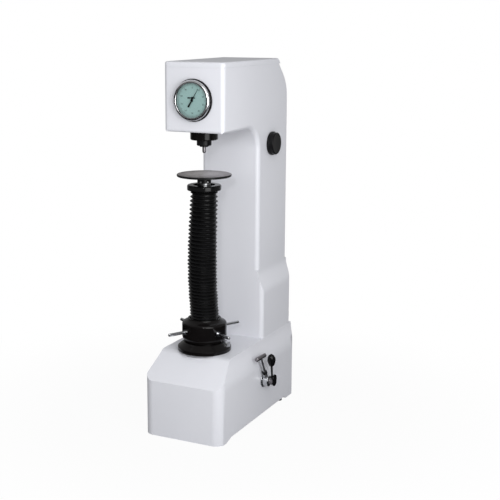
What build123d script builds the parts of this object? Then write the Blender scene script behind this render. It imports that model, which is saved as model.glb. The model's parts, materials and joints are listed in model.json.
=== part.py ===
from build123d import *
import os
from math import cos, pi, radians, sin, sqrt

os.makedirs("parts", exist_ok=True)

# ---------------------------------------------------------------- dimensions
# Axes while modelling: X to the right, Y to the back, Z up, in mm.
# The elevating screw and the spindle share the line X = 0, Y = 0. The bench is Z = 0.
running_gap = 0.06
curved_gap = 0.3

# frame casting
wall = 9
head_width = 180
head_front = -60.6
total_height = 1025
head_bottom = total_height - 186
cover_height = 15
cover_seam = total_height - cover_height
column_front = 160
column_back = 363
throat_radius = 64
back_slope_start = column_back - 74
back_corner_z = total_height - 74
back_corner_radius = 100
edge_radius = 12
base_front = -136
base_back = 373
base_width = 242
base_foot_width = base_width - 4
base_face_top = 158
base_top = 226
base_slope_top_y = -57
base_slope_top_z = base_top - 6
base_corner = 30
flare_start = 150
flare_end = base_top + 9
lower_width = base_width - 30
lower_corner = 12
shoulder_start = 355
shoulder_end = 428
foot_clearance = 8.5
front_pad_back = -100
back_pad_front = 310
feet_spacing = base_width - 30

# window in the back and its cover
window_bottom = 250
window_top = back_corner_z - 81
window_width = head_width - 54
window_corner = 10
cover_lap = 15
cover_side_lap = 12
cover_sheet = 3

# elevating screw, seat and handwheel
table_top = head_bottom - 117
screw_radius = 18
screw_bottom = 175
screw_top = table_top - 25
keyway_width = 8
keyway_floor = 14
seat_radius = 75
seat_rim_top = base_top + 11
seat_top = base_top + 25
seat_top_radius = 58
seat_bolt_circle = 58
seat_bolt_head_bottom = base_top - 35.5
neck_radius = 51
neck_top = seat_top + 16.5
spigot_radius = 45
spigot_bottom = base_top - 30
key_block_x = 60
key_block_y = 11
key_block_width = 22
key_block_depth = 22
bearing_floor = seat_top - 11
bearing_radius = 43
race_thickness = 5
ball_radius = 4
ball_circle = 33
nut_flange_bottom = seat_top + 7
nut_flange_top = nut_flange_bottom + 7
nut_radius = 30
nut_top = nut_flange_bottom + 42
hub_bottom = seat_top + 3
hub_floor = hub_bottom + 14
hub_shoulder = hub_bottom + 40
hub_top = hub_bottom + 46
hub_radius = 62.5
collar_radius = 46
collar_top = hub_bottom + 64
bellows_radius = 40.5
bellows_valley = 36
bellows_inner = 31
bellows_folds = 18
bellows_bottom = hub_top + 0.3
ring_radius = 46.8
ring_top = table_top - 29
bellows_top = ring_top - 15
rod_height = hub_bottom + 31
rod_radius = 4.5
rod_reach = 120
rod_angles = (-28, 62, 152, 242)

# test table
table_radius = 75
table_rim = 6
table_hub_radius = 19
table_hub_top = table_top - 8
stem_radius = 12
stem_bottom = table_top - 62

# spindle and indenter
flange_radius = 37.5
flange_bottom = head_bottom - 23.5
flange_spigot = 28
spindle_radius = 10
spindle_top = head_bottom + 68.8
nose_radius = 20
nose_top = flange_bottom - 1.1
nose_bottom = nose_top - 14.9
indenter_tip = head_bottom - 60.5
bush_radius = 13
bush_top = head_bottom + 20.7
arm_bottom = head_bottom + 21
arm_top = arm_bottom + 12
spring_wire = 1.25
bridge_bottom = head_bottom + 57
bridge_top = bridge_bottom + 8

# dial indicator
dial_z = head_bottom + 86
dial_case_radius = 51.75
case_front = -66
case_back = -35
bezel_radius = 56.5
bezel_back = -61.6
bezel_front = -77
bezel_flange = 3.4
bezel_window = 45.5
glass_radius = 47.2
glass_front = -74
glass_thickness = 2
dial_disc_radius = 49.4
dial_disc_thickness = 1.2
dial_centre_radius = 10
pointer_y = -71
pointer_thickness = 0.8
pointer_length = 36
pointer_tail = 20.5
pointer_angle = radians(31)
small_pointer_y = -68.4
small_pointer_z = dial_z + 6.5

# beam, hanger and weights
beam_half_width = 12
beam_bottom = head_bottom + 73
beam_top = beam_bottom + 26
fulcrum_y = -15
fulcrum_z = beam_bottom + 15
hanger_y = 270
hanger_pin_z = beam_bottom + 13
cheek_inner = 20
cheek_outer = 28
weight_radius = 55
weight_bottoms = (262, 331, 395)
weight_heights = (35, 30, 35)

# load handle, cam and push rod
shaft_y = 137
shaft_z = 110
load_shaft_radius = 7
load_cam_x = 60
cam_width = 12
load_turn = radians(75)
load_drop = 13.65
load_roller_radius = 6
load_roller_distance = 34.3
push_rod_y = 195
push_rod_radius = 6
flange_seat = base_width / 2 - 1
lever_x = base_width / 2 + 28
lever_length = 66.5
lever_lean = radians(6)
lever_collar_radius = 9.5
end_cap_radius = 12.5
end_cap_rise = 9.5
end_cap_thickness = 4
handle_x = base_width / 2 + 11
handle_length = 94
handle_rod_radius = 4
hub_outer = 16
load_face = base_width / 2 + 19.6
neck_reach = 29
nut_height = 9
handle_lean = radians(28.6)
grip_rise = radians(-1.8)

# load selector
selector_y = 243
selector_z = head_bottom - 53
knob_radius = 33.5
knob_face_radius = 31
selector_shaft_radius = 7
selector_roller_radius = 5
selector_roller_distance = 28
selector_rise = 8
selector_cam_x = head_width / 2 - 30
carrier_x = selector_cam_x + 6
carrier_y = 290
carrier_rod_radius = 3.25
carrier_rod_bottom = weight_bottoms[0] + 24
lower_guide_z = 460
push_guide_z = head_bottom - 59
carrier_guide_z = head_bottom - 119

# row position: the middle of the outline in plan goes to the origin
reach_left = base_width / 2
reach_right = base_width / 2 + 37
row_place = Location((
    (reach_left - reach_right) / 2,
    -(base_front + base_back) / 2,
    0,
))


def cam_edge(distance, rise_per_radian, offset, angle):
    """Cam edge that keeps a roller centre at distance + rise * angle above the axis."""
    reach = distance + rise_per_radian * angle
    along_y = rise_per_radian * sin(angle) + reach * cos(angle)
    along_z = rise_per_radian * cos(angle) - reach * sin(angle)
    length = sqrt(along_y**2 + along_z**2)
    return (
        reach * sin(angle) + offset * along_z / length,
        reach * cos(angle) - offset * along_y / length,
    )


def ring_planes(radius, height, angles):
    """Planes that face outward at the given angles on a circle about the screw axis."""
    return [
        Plane(
            origin=(radius * cos(radians(a)), radius * sin(radians(a)), height),
            z_dir=(cos(radians(a)), sin(radians(a)), 0),
        )
        for a in angles
    ]


def side_plane(x, y, z):
    """Plane that faces right with its origin on a cross shaft: sketch X is back, sketch Y is up."""
    return Plane(origin=(x, y, z), x_dir=(0, 1, 0), z_dir=(1, 0, 0))


def dial_plane(y, angle):
    """Plane on the dial's axis that faces forward, turned clockwise by angle as seen from in front."""
    return Plane(origin=(0, y, dial_z), x_dir=(cos(angle), 0, -sin(angle)), z_dir=(0, -1, 0))


def save(part, name):
    """Label a finished piece and write it in the row position."""
    part.label = name
    export_step(part.moved(row_place), f"parts/{name}.step")


# ---------------------------------------------------------------- frame casting
with BuildPart() as frame_casting:
    with BuildSketch(Plane.YZ):
        with BuildLine():
            Polyline(
                (head_front, head_bottom),
                (column_front, head_bottom),
                (column_front, shoulder_start),
                (column_back, shoulder_start),
                (column_back, back_corner_z),
                (column_back - (cover_seam - back_corner_z), cover_seam),
                (head_front, cover_seam),
                close=True,
            )
        make_face()
    extrude(amount=head_width / 2, both=True)
    throat_edges = frame_casting.edges().filter_by(Axis.X).filter_by_position(
        Axis.Z, head_bottom - 1, head_bottom + 1
    )
    fillet(throat_edges.sort_by(Axis.Y)[-1], throat_radius)
    back_edges = frame_casting.edges().filter_by(Axis.X).filter_by_position(
        Axis.Z, back_corner_z - 1, back_corner_z + 1
    )
    fillet(back_edges, back_corner_radius)
    fillet(frame_casting.edges().filter_by(Axis.Z), edge_radius)

    with BuildSketch(Plane.XY.offset(base_top - 30)):
        with Locations((0, (column_front + column_back) / 2)):
            RectangleRounded(lower_width, column_back - column_front, lower_corner)
    extrude(amount=shoulder_end - base_top + 30)
    with BuildSketch(Plane.XY):
        with Locations((0, (base_front + base_back) / 2)):
            RectangleRounded(base_width, base_back - base_front, base_corner)
    extrude(amount=base_top)

    # front view outline: foot, flare to the lower column, shoulder to the column
    with BuildSketch(Plane.XZ):
        with BuildLine():
            Line((0, 0), (base_foot_width / 2, 0))
            Line((base_foot_width / 2, 0), (base_width / 2, flare_start))
            Spline(
                (base_width / 2, flare_start),
                (lower_width / 2, flare_end),
                tangents=((0, 1), (0, 1)),
            )
            Line((lower_width / 2, flare_end), (lower_width / 2, shoulder_start))
            Spline(
                (lower_width / 2, shoulder_start),
                (head_width / 2, shoulder_end),
                tangents=((0, 1), (0, 1)),
            )
            Line((head_width / 2, shoulder_end), (head_width / 2, total_height))
            Line((head_width / 2, total_height), (0, total_height))
            Line((0, total_height), (0, 0))
        make_face()
        mirror(about=Plane.YZ)
    extrude(amount=base_back + 10, both=True, mode=Mode.INTERSECT)

    # sloped front of the base and the raised underside between the foot pads
    with BuildSketch(Plane.YZ):
        with BuildLine():
            Polyline(
                (base_front - 1, base_face_top - 0.8),
                (base_slope_top_y, base_slope_top_z),
                (base_slope_top_y + 14, base_top + 1),
                (base_front - 1, base_top + 1),
                close=True,
            )
        make_face()
        with BuildLine():
            Polyline(
                (front_pad_back, 0),
                (front_pad_back + 30, foot_clearance),
                (back_pad_front - 15, foot_clearance),
                (back_pad_front, 0),
                close=True,
            )
        make_face()
    extrude(amount=base_width, both=True, mode=Mode.SUBTRACT)

    # inside of the base, column and head
    with BuildSketch(Plane.XY):
        with Locations((0, (base_front + base_back) / 2)):
            RectangleRounded(base_width - 24, base_back - base_front - 20, base_corner - wall)
    extrude(amount=flare_start, mode=Mode.SUBTRACT)
    with BuildSketch(Plane.XY.offset(flare_start)):
        with Locations((0, (base_slope_top_y + 12 + column_back - wall) / 2)):
            Rectangle(lower_width - 2 * wall, column_back - wall - base_slope_top_y - 12)
    extrude(amount=base_top - wall - flare_start, mode=Mode.SUBTRACT)
    with BuildSketch(Plane.XY.offset(flare_start)):
        with Locations((0, (column_front + column_back) / 2)):
            Rectangle(head_width - 2 * wall, column_back - column_front - 2 * wall)
    extrude(amount=back_corner_z - 60 - flare_start, mode=Mode.SUBTRACT)
    with BuildSketch(Plane.XY.offset(head_bottom + wall)):
        with Locations((0, (head_front + column_back - 60) / 2)):
            Rectangle(head_width - 2 * wall, column_back - 60 - head_front - 2 * wall)
    extrude(amount=cover_seam - head_bottom, mode=Mode.SUBTRACT)
    with BuildSketch(Plane.YZ):
        with BuildLine():
            Polyline(
                (column_back - wall - 70, cover_seam + 1),
                (column_back - wall - 62, cover_seam + 1),
                (column_back - wall - 24, back_corner_z + 21),
                (column_back - wall, back_corner_z - 21),
                (column_back - wall, back_corner_z - 61),
                (column_back - wall - 70, back_corner_z - 61),
                close=True,
            )
        make_face()
    extrude(amount=head_width / 2 - wall, both=True, mode=Mode.SUBTRACT)

    # boss under the screw seat, bore for its spigot
    with BuildSketch(Plane.XY.offset(spigot_bottom)):
        Circle(spigot_radius + 22)
    extrude(amount=base_top - wall - spigot_bottom + 1)
    with BuildSketch(Plane.XY.offset(spigot_bottom)):
        Circle(spigot_radius)
    extrude(amount=base_top - spigot_bottom, mode=Mode.SUBTRACT)
    with BuildSketch(Plane.XY.offset(spigot_bottom - 1)):
        with PolarLocations(seat_bolt_circle, 3, start_angle=-20, angular_range=220, endpoint=True):
            Circle(4.2)
    extrude(amount=base_top - spigot_bottom + 2, mode=Mode.SUBTRACT)

    # boss for the load shaft in the right-hand wall, with a flat for its flange
    with BuildSketch(Plane.YZ.offset(flange_seat - 34)):
        with Locations((shaft_y, shaft_z)):
            Circle(18)
    extrude(amount=28)
    with BuildSketch(Plane.YZ.offset(flange_seat)):
        with Locations((shaft_y, shaft_z)):
            Circle(20.6)
    extrude(amount=5, mode=Mode.SUBTRACT)
    with BuildSketch(Plane.YZ.offset(flange_seat - 40)):
        with Locations((shaft_y, shaft_z)):
            Circle(10)
    extrude(amount=50, mode=Mode.SUBTRACT)

    # boss and bore for the selector shaft
    with BuildSketch(Plane.YZ.offset(head_width / 2 - wall - 9)):
        with Locations((selector_y, selector_z)):
            Circle(14)
    extrude(amount=12)
    with BuildSketch(Plane.YZ.offset(head_width / 2 - wall - 11)):
        with Locations((selector_y, selector_z)):
            Circle(selector_shaft_radius + running_gap)
    extrude(amount=25, mode=Mode.SUBTRACT)

    # openings for the spindle flange and the dial indicator
    with BuildSketch(Plane.XY.offset(head_bottom - 1)):
        Circle(flange_spigot)
    extrude(amount=wall + 2, mode=Mode.SUBTRACT)
    with BuildSketch(Plane.XZ.offset(-head_front - wall - 1)):
        with Locations((0, dial_z)):
            Circle(dial_case_radius + 0.1)
    extrude(amount=wall + 2, mode=Mode.SUBTRACT)

    # window in the back of the column
    with BuildSketch(Plane.XZ.offset(-column_back - 1)):
        with Locations((0, (window_bottom + window_top) / 2)):
            RectangleRounded(window_width, window_top - window_bottom, window_corner)
    extrude(amount=wall + 2, mode=Mode.SUBTRACT)
save(frame_casting.part, "frame_casting")

with BuildPart() as top_cover:
    cover_back = column_back - (cover_seam - back_corner_z)
    with BuildSketch(Plane.YZ):
        with BuildLine():
            Polyline(
                (head_front, cover_seam),
                (cover_back, cover_seam),
                (back_slope_start, total_height),
                (head_front, total_height),
                close=True,
            )
        make_face()
    extrude(amount=head_width / 2, both=True)
    fillet(top_cover.edges().filter_by(Axis.Z), edge_radius)
    fillet(top_cover.faces().sort_by(Axis.Z)[-1].edges(), 6)
    with BuildSketch(Plane.XY.offset(cover_seam)):
        with Locations((0, (head_front + back_slope_start) / 2)):
            Rectangle(head_width - 20, back_slope_start - head_front - 24)
    extrude(amount=8, mode=Mode.SUBTRACT)
    with BuildSketch(Plane.XY.offset(cover_seam - 5)):
        with Locations((0, (head_front + back_slope_start) / 2)):
            Rectangle(head_width - 2 * wall - 1, back_slope_start - head_front - 2 * wall - 4)
            Rectangle(
                head_width - 2 * wall - 9,
                back_slope_start - head_front - 2 * wall - 12,
                mode=Mode.SUBTRACT,
            )
    extrude(amount=14)
save(top_cover.part, "top_cover")

with BuildPart() as rear_cover:
    with BuildSketch(Plane.XZ.offset(-column_back)):
        with Locations((0, (window_bottom + window_top) / 2)):
            RectangleRounded(
                window_width + 2 * cover_side_lap,
                window_top - window_bottom + 2 * cover_lap,
                window_corner + 2,
            )
    extrude(amount=-cover_sheet)
save(rear_cover.part, "rear_cover")

with BuildPart() as rear_cover_screws:
    with BuildSketch(Plane.XZ.offset(-column_back - cover_sheet)):
        with Locations((0, (window_bottom + window_top) / 2)):
            with GridLocations(window_width + cover_side_lap, (window_top - window_bottom) / 2, 2, 3):
                Circle(4)
    extrude(amount=-2)
    chamfer(rear_cover_screws.faces().filter_by(Axis.Y).sort_by(Axis.Y)[-6:].edges(), 0.6)
save(rear_cover_screws.part, "rear_cover_screws")

with BuildPart() as levelling_feet:
    with BuildSketch(Plane.XY):
        with Locations((0, 284)):
            with GridLocations(feet_spacing, 50, 2, 1):
                Circle(10)
    extrude(amount=foot_clearance)
save(levelling_feet.part, "levelling_feet")

# ---------------------------------------------------------------- screw seat and bearing
with BuildPart() as screw_seat:
    with BuildSketch(Plane.XZ):
        with BuildLine():
            Polyline(
                (0, base_top),
                (seat_radius - 1, base_top),
                (seat_radius, base_top + 1),
                (seat_radius, seat_rim_top - 1),
                (seat_radius - 1, seat_rim_top),
                (seat_top_radius, seat_top),
                (0, seat_top),
                close=True,
            )
        make_face()
    revolve(axis=Axis.Z)
    with BuildSketch(Plane.XY.offset(seat_top)):
        Circle(neck_radius)
    extrude(amount=neck_top - seat_top)
    with BuildSketch(Plane.XY.offset(spigot_bottom)):
        Circle(spigot_radius)
    extrude(amount=base_top - spigot_bottom)
    with BuildSketch(Plane.XY.offset(bearing_floor)):
        Circle(bearing_radius)
    extrude(amount=neck_top - bearing_floor, mode=Mode.SUBTRACT)
    with BuildSketch(Plane.XY.offset(spigot_bottom)):
        Circle(screw_radius + running_gap)
        with Locations((0, keyway_floor + 5)):
            Rectangle(keyway_width, 10)
    extrude(amount=bearing_floor - spigot_bottom, mode=Mode.SUBTRACT)
    with BuildSketch(Plane.XY.offset(base_top - 1)):
        with Locations((key_block_x, key_block_y)):
            Rectangle(key_block_width, key_block_depth)
    extrude(amount=seat_top - base_top + 2, mode=Mode.SUBTRACT)
    with BuildSketch(Plane.XY.offset(base_top)):
        with PolarLocations(seat_bolt_circle, 3, start_angle=-20, angular_range=220, endpoint=True):
            Circle(4)
    extrude(amount=10, mode=Mode.SUBTRACT)
save(screw_seat.part, "screw_seat")

with BuildPart() as seat_key_block:
    with BuildSketch(Plane.XY.offset(base_top)):
        with Locations((key_block_x, key_block_y)):
            Rectangle(key_block_width, key_block_depth)
    extrude(amount=seat_top - base_top)
    fillet(seat_key_block.edges().filter_by(Axis.Z), 2)
    chamfer(seat_key_block.faces().sort_by(Axis.Z)[-1].edges(), 1)
    with BuildSketch(Plane.XZ.offset(key_block_depth / 2 - key_block_y)):
        with Locations((key_block_x, (base_top + seat_top) / 2 + 2)):
            Circle(6)
    extrude(amount=-12, mode=Mode.SUBTRACT)
save(seat_key_block.part, "seat_key_block")

with BuildPart() as seat_bolts:
    with BuildSketch(Plane.XY.offset(seat_bolt_head_bottom)):
        with PolarLocations(seat_bolt_circle, 3, start_angle=-20, angular_range=220, endpoint=True):
            RegularPolygon(7.5, 6)
    extrude(amount=5.5)
    with BuildSketch(Plane.XY.offset(seat_bolt_head_bottom)):
        with PolarLocations(seat_bolt_circle, 3, start_angle=-20, angular_range=220, endpoint=True):
            Circle(4)
    extrude(amount=base_top + 10 - seat_bolt_head_bottom)
save(seat_bolts.part, "seat_bolts")

with BuildPart() as screw_guide_key:
    with BuildSketch(Plane.XY.offset(spigot_bottom + 2)):
        with Locations((0, keyway_floor + 5.2)):
            Rectangle(keyway_width, 9.6)
    extrude(amount=base_top - spigot_bottom)
save(screw_guide_key.part, "screw_guide_key")

with BuildPart() as thrust_bearing:
    with BuildSketch(Plane.XY.offset(bearing_floor)):
        Circle(bearing_radius)
        Circle(bearing_radius - 20, mode=Mode.SUBTRACT)
    extrude(amount=race_thickness)
    with PolarLocations(ball_circle, 16):
        with Locations((0, 0, bearing_floor + race_thickness + ball_radius)):
            Sphere(ball_radius)
save(thrust_bearing.part, "thrust_bearing")

with BuildPart() as upper_bearing_race:
    race_bottom = bearing_floor + race_thickness + 2 * ball_radius + 0.1
    with BuildSketch(Plane.XY.offset(race_bottom)):
        Circle(bearing_radius - 0.5)
        Circle(bearing_radius - 20, mode=Mode.SUBTRACT)
    extrude(amount=nut_flange_bottom - race_bottom)
save(upper_bearing_race.part, "upper_bearing_race")

# ---------------------------------------------------------------- handwheel
with BuildPart() as handwheel_hub:
    with BuildSketch(Plane.XZ):
        with BuildLine():
            shoulder = Spline(
                (hub_radius, hub_shoulder),
                (collar_radius, collar_top),
                tangents=((0, 1), (-1, 0.4)),
            )
            Polyline(
                shoulder @ 1,
                (bellows_radius + 1, collar_top),
                (bellows_radius + 1, hub_top),
                (nut_radius, hub_top),
                (nut_radius, hub_floor),
                (neck_radius + 1, hub_floor),
                (neck_radius + 1, hub_bottom),
                (hub_radius - 5, hub_bottom),
                (hub_radius, hub_bottom + 10),
                shoulder @ 0,
            )
        make_face()
    revolve(axis=Axis.Z)
    with BuildSketch(*ring_planes(45, rod_height, rod_angles)):
        Circle(rod_radius)
    extrude(amount=30, mode=Mode.SUBTRACT)
save(handwheel_hub.part, "handwheel_hub")

with BuildPart() as elevating_nut:
    with BuildSketch(Plane.XZ):
        with BuildLine():
            Polyline(
                (screw_radius + running_gap, nut_flange_bottom),
                (bearing_radius - 1, nut_flange_bottom),
                (bearing_radius - 1, nut_flange_top),
                (nut_radius, nut_flange_top),
                (nut_radius, nut_top - 0.5),
                (screw_radius + running_gap, nut_top - 0.5),
                close=True,
            )
        make_face()
    revolve(axis=Axis.Z)
save(elevating_nut.part, "elevating_nut")

with BuildPart() as handwheel_rods:
    with BuildSketch(*ring_planes(45, rod_height, rod_angles)):
        Circle(rod_radius)
    extrude(amount=rod_reach - 45)
    rod_ends = handwheel_rods.edges().filter_by(
        lambda edge: Vector(edge.center().X, edge.center().Y).length > rod_reach - 1
    )
    fillet(rod_ends, 2.5)
save(handwheel_rods.part, "handwheel_rods")

with BuildPart() as rod_ferrules:
    with BuildSketch(*ring_planes(hub_radius, rod_height, rod_angles)):
        Circle(8)
        Circle(rod_radius, mode=Mode.SUBTRACT)
    extrude(amount=7)
save(rod_ferrules.part, "rod_ferrules")

# ---------------------------------------------------------------- screw, bellows and table
with BuildPart() as elevating_screw:
    with BuildSketch(Plane.XY.offset(screw_bottom)):
        Circle(screw_radius)
    extrude(amount=screw_top - screw_bottom)
    chamfer(elevating_screw.edges().filter_by(GeomType.CIRCLE).sort_by(Axis.Z)[0], 2)
    with BuildSketch(Plane.XY.offset(screw_bottom)):
        with Locations((0, keyway_floor + 5)):
            Rectangle(keyway_width + 2 * running_gap, 10)
    extrude(amount=ring_top - 20 - screw_bottom, mode=Mode.SUBTRACT)
    with BuildSketch(Plane.XY.offset(stem_bottom)):
        Circle(stem_radius)
    extrude(amount=screw_top - stem_bottom, mode=Mode.SUBTRACT)
save(elevating_screw.part, "elevating_screw")

with BuildPart() as bellows_ring:
    with BuildSketch(Plane.XY.offset(bellows_top)):
        Circle(ring_radius)
        Circle(screw_radius, mode=Mode.SUBTRACT)
    extrude(amount=ring_top - bellows_top)
    fillet(bellows_ring.edges().group_by(Axis.Z)[-1].sort_by(SortBy.LENGTH)[-1], 5)
save(bellows_ring.part, "bellows_ring")

with BuildPart() as bellows:
    fold_pitch = (bellows_top - bellows_bottom) / bellows_folds
    fold_edge = []
    for fold in range(bellows_folds):
        fold_base = bellows_bottom + fold * fold_pitch
        fold_edge.append((bellows_valley, fold_base))
        fold_edge.append((bellows_radius, fold_base + fold_pitch / 2))
    with BuildSketch(Plane.XZ):
        with BuildLine():
            Polyline(
                (bellows_inner, bellows_bottom),
                *fold_edge,
                (bellows_valley, bellows_top),
                (bellows_inner, bellows_top),
                close=True,
            )
        make_face()
    revolve(axis=Axis.Z)
save(bellows.part, "bellows")

with BuildPart() as test_table:
    with BuildSketch(Plane.XZ):
        with BuildLine():
            Polyline(
                (0, stem_bottom),
                (stem_radius, stem_bottom),
                (stem_radius, screw_top),
                (table_hub_radius, screw_top),
                (table_hub_radius, table_hub_top - 6),
                (table_hub_radius + 6, table_hub_top),
                (table_radius - 1, table_top - table_rim),
                (table_radius, table_top - table_rim + 1),
                (table_radius, table_top - 1),
                (table_radius - 1, table_top),
                (0, table_top),
                close=True,
            )
        make_face()
    revolve(axis=Axis.Z)
save(test_table.part, "test_table")

with BuildPart() as table_screws:
    with BuildSketch(*ring_planes(table_hub_radius, screw_top + 4.5, (-90, -35))):
        Circle(2.6)
    extrude(amount=1.6)
save(table_screws.part, "table_screws")

# ---------------------------------------------------------------- spindle
with BuildPart() as spindle_flange:
    with BuildSketch(Plane.XZ):
        with BuildLine():
            Polyline(
                (bush_radius, flange_bottom),
                (flange_radius - 2, flange_bottom),
                (flange_radius, flange_bottom + 2),
                (flange_radius, head_bottom),
                (flange_spigot, head_bottom),
                (flange_spigot, head_bottom + wall),
                (bush_radius, head_bottom + wall),
                close=True,
            )
        make_face()
    revolve(axis=Axis.Z)
save(spindle_flange.part, "spindle_flange")

with BuildPart() as spindle_bush:
    with BuildSketch(Plane.XY.offset(flange_bottom + 1)):
        Circle(bush_radius)
        Circle(spindle_radius + running_gap, mode=Mode.SUBTRACT)
    extrude(amount=bush_top - flange_bottom - 1)
save(spindle_bush.part, "spindle_bush")

with BuildPart() as spindle:
    with BuildSketch(Plane.XZ):
        with BuildLine():
            Polyline(
                (4, nose_bottom - 3),
                (12, nose_bottom - 3),
                (12, nose_bottom),
                (nose_radius - 2, nose_bottom),
                (nose_radius, nose_bottom + 2),
                (nose_radius, nose_top),
                (spindle_radius, nose_top),
                (spindle_radius, spindle_top - 3),
                (spindle_radius - 3, spindle_top),
                (0, spindle_top),
                (0, nose_top - 3),
                (4, nose_top - 3),
                close=True,
            )
        make_face()
    revolve(axis=Axis.Z)
save(spindle.part, "spindle")

with BuildPart() as indenter:
    with BuildSketch(Plane.XZ):
        with BuildLine():
            Polyline(
                (0, indenter_tip),
                (2.4, indenter_tip + 0.6),
                (4.1, indenter_tip + 2.2),
                (5, indenter_tip + 5),
                (5, nose_bottom - 3),
                (4, nose_bottom - 3),
                (4, nose_top - 3),
                (0, nose_top - 3),
                close=True,
            )
        make_face()
    revolve(axis=Axis.Z)
save(indenter.part, "indenter")

with BuildPart() as indenter_screw:
    with BuildSketch(*ring_planes(nose_radius, nose_bottom + 7, (-20,))):
        Circle(3.5)
    extrude(amount=5)
save(indenter_screw.part, "indenter_screw")

with BuildPart() as measuring_arm:
    with BuildSketch(Plane.XY.offset(arm_bottom)):
        Circle(17)
        Circle(spindle_radius, mode=Mode.SUBTRACT)
    extrude(amount=arm_top - arm_bottom)
    with BuildSketch(Plane.XY.offset(arm_bottom)):
        with Locations((0, -33)):
            Rectangle(8, 36)
    extrude(amount=6)
    with BuildSketch(Plane.XY.offset(arm_bottom + 6)):
        with Locations((0, -46)):
            Circle(3)
    extrude(amount=13)
save(measuring_arm.part, "measuring_arm")

with BuildPart() as initial_load_spring:
    with BuildLine():
        coil = Helix(
            pitch=6,
            height=bridge_bottom - arm_top - 2 * (spring_wire + curved_gap),
            radius=13.5,
            center=(0, 0, arm_top + spring_wire + curved_gap),
        )
    with BuildSketch(Plane(origin=coil @ 0, z_dir=coil % 0)):
        Circle(spring_wire)
    sweep()
save(initial_load_spring.part, "initial_load_spring")

with BuildPart() as fulcrum_bracket:
    with BuildSketch(Plane.XY.offset(head_bottom + wall)):
        with Locations((0, -5)):
            Rectangle(76, 50)
        Circle(bush_radius + 1, mode=Mode.SUBTRACT)
    extrude(amount=8)
    with BuildSketch(Plane.YZ.offset(cheek_inner)):
        with BuildLine():
            Polyline(
                (-30, head_bottom + wall),
                (20, head_bottom + wall),
                (20, bridge_top),
                (0, fulcrum_z + 13),
                (-30, fulcrum_z + 13),
                close=True,
            )
        make_face()
    extrude(amount=cheek_outer - cheek_inner)
    mirror(about=Plane.YZ)
    with BuildSketch(Plane.XY.offset(bridge_bottom)):
        with Locations((0, 2)):
            Rectangle(2 * cheek_inner, 36)
        Circle(spindle_radius + running_gap, mode=Mode.SUBTRACT)
    extrude(amount=bridge_top - bridge_bottom)
    with BuildSketch(Plane.YZ.offset(-cheek_outer)):
        with Locations((fulcrum_y, fulcrum_z)):
            Circle(5)
    extrude(amount=2 * cheek_outer, mode=Mode.SUBTRACT)
save(fulcrum_bracket.part, "fulcrum_bracket")

with BuildPart() as fulcrum_pin:
    with BuildSketch(Plane.YZ.offset(-cheek_outer - 2)):
        with Locations((fulcrum_y, fulcrum_z)):
            Circle(5)
    extrude(amount=2 * cheek_outer + 4)
save(fulcrum_pin.part, "fulcrum_pin")

# ---------------------------------------------------------------- dial indicator
with BuildPart() as indicator_case:
    with BuildSketch(Plane.XZ.offset(-case_back)):
        with Locations((0, dial_z)):
            Circle(dial_case_radius)
    extrude(amount=case_back - case_front)
    with BuildSketch(Plane.XZ.offset(-case_back + 3)):
        with Locations((0, dial_z)):
            Circle(dial_case_radius - 3)
    extrude(amount=case_back - case_front, mode=Mode.SUBTRACT)
    with BuildSketch(Plane.XZ.offset(53)):
        with Locations((0, dial_z)):
            Circle(dial_case_radius - 2)
    extrude(amount=2)
    with BuildSketch(Plane.XZ.offset(50)):
        with Locations((0, dial_z), (0, small_pointer_z)):
            Circle(1.5 + running_gap)
    extrude(amount=6, mode=Mode.SUBTRACT)
    with BuildSketch(Plane.XZ.offset(30)):
        with Locations((0, dial_z)):
            Circle(1.5 + running_gap)
    extrude(amount=10, mode=Mode.SUBTRACT)
    with BuildSketch(Plane.XY.offset(dial_z - dial_case_radius - 1)):
        with Locations((0, -46)):
            Circle(4)
    extrude(amount=10, mode=Mode.SUBTRACT)
save(indicator_case.part, "indicator_case")

with BuildPart() as bezel:
    with BuildSketch(Plane.XY.offset(dial_z)):
        with BuildLine():
            Polyline(
                (dial_case_radius + running_gap, bezel_back),
                (bezel_radius - 0.6, bezel_back),
                (bezel_radius, bezel_back - 0.6),
                (bezel_radius, bezel_back - bezel_flange),
                (bezel_radius - 1.5, bezel_back - bezel_flange - 1.5),
                (bezel_window + 2.5, bezel_front + 1),
                (bezel_window + 1, bezel_front),
                (bezel_window, bezel_front + 0.6),
                (bezel_window, glass_front),
                (glass_radius, glass_front),
                (glass_radius, case_front - 0.5 - dial_disc_thickness),
                (dial_disc_radius, case_front - 0.5 - dial_disc_thickness),
                (dial_disc_radius, case_front - 0.4),
                (dial_case_radius + running_gap, case_front - 0.4),
                close=True,
            )
        make_face()
    revolve(axis=Axis((0, 0, dial_z), (0, 1, 0)))
save(bezel.part, "bezel")

with BuildPart() as dial_face:
    with BuildSketch(Plane.XZ.offset(-case_front + 0.5)):
        with Locations((0, dial_z)):
            Circle(dial_disc_radius)
            Circle(dial_centre_radius + running_gap, mode=Mode.SUBTRACT)
    extrude(amount=dial_disc_thickness)
save(dial_face.part, "dial_face")

# fixed middle of the dial, which carries both arbors while the rest turns with the bezel
with BuildPart() as dial_centre:
    with BuildSketch(Plane.XZ.offset(55)):
        with Locations((0, dial_z)):
            Circle(dial_centre_radius)
        with Locations((0, dial_z), (0, small_pointer_z)):
            Circle(1.5 + running_gap, mode=Mode.SUBTRACT)
    extrude(amount=-case_front + 0.5 + dial_disc_thickness - 55)
save(dial_centre.part, "dial_centre")

with BuildPart() as dial_glass:
    with BuildSketch(Plane.XZ.offset(-glass_front - glass_thickness)):
        with Locations((0, dial_z)):
            Circle(glass_radius)
    extrude(amount=glass_thickness)
save(dial_glass.part, "dial_glass")

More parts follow.
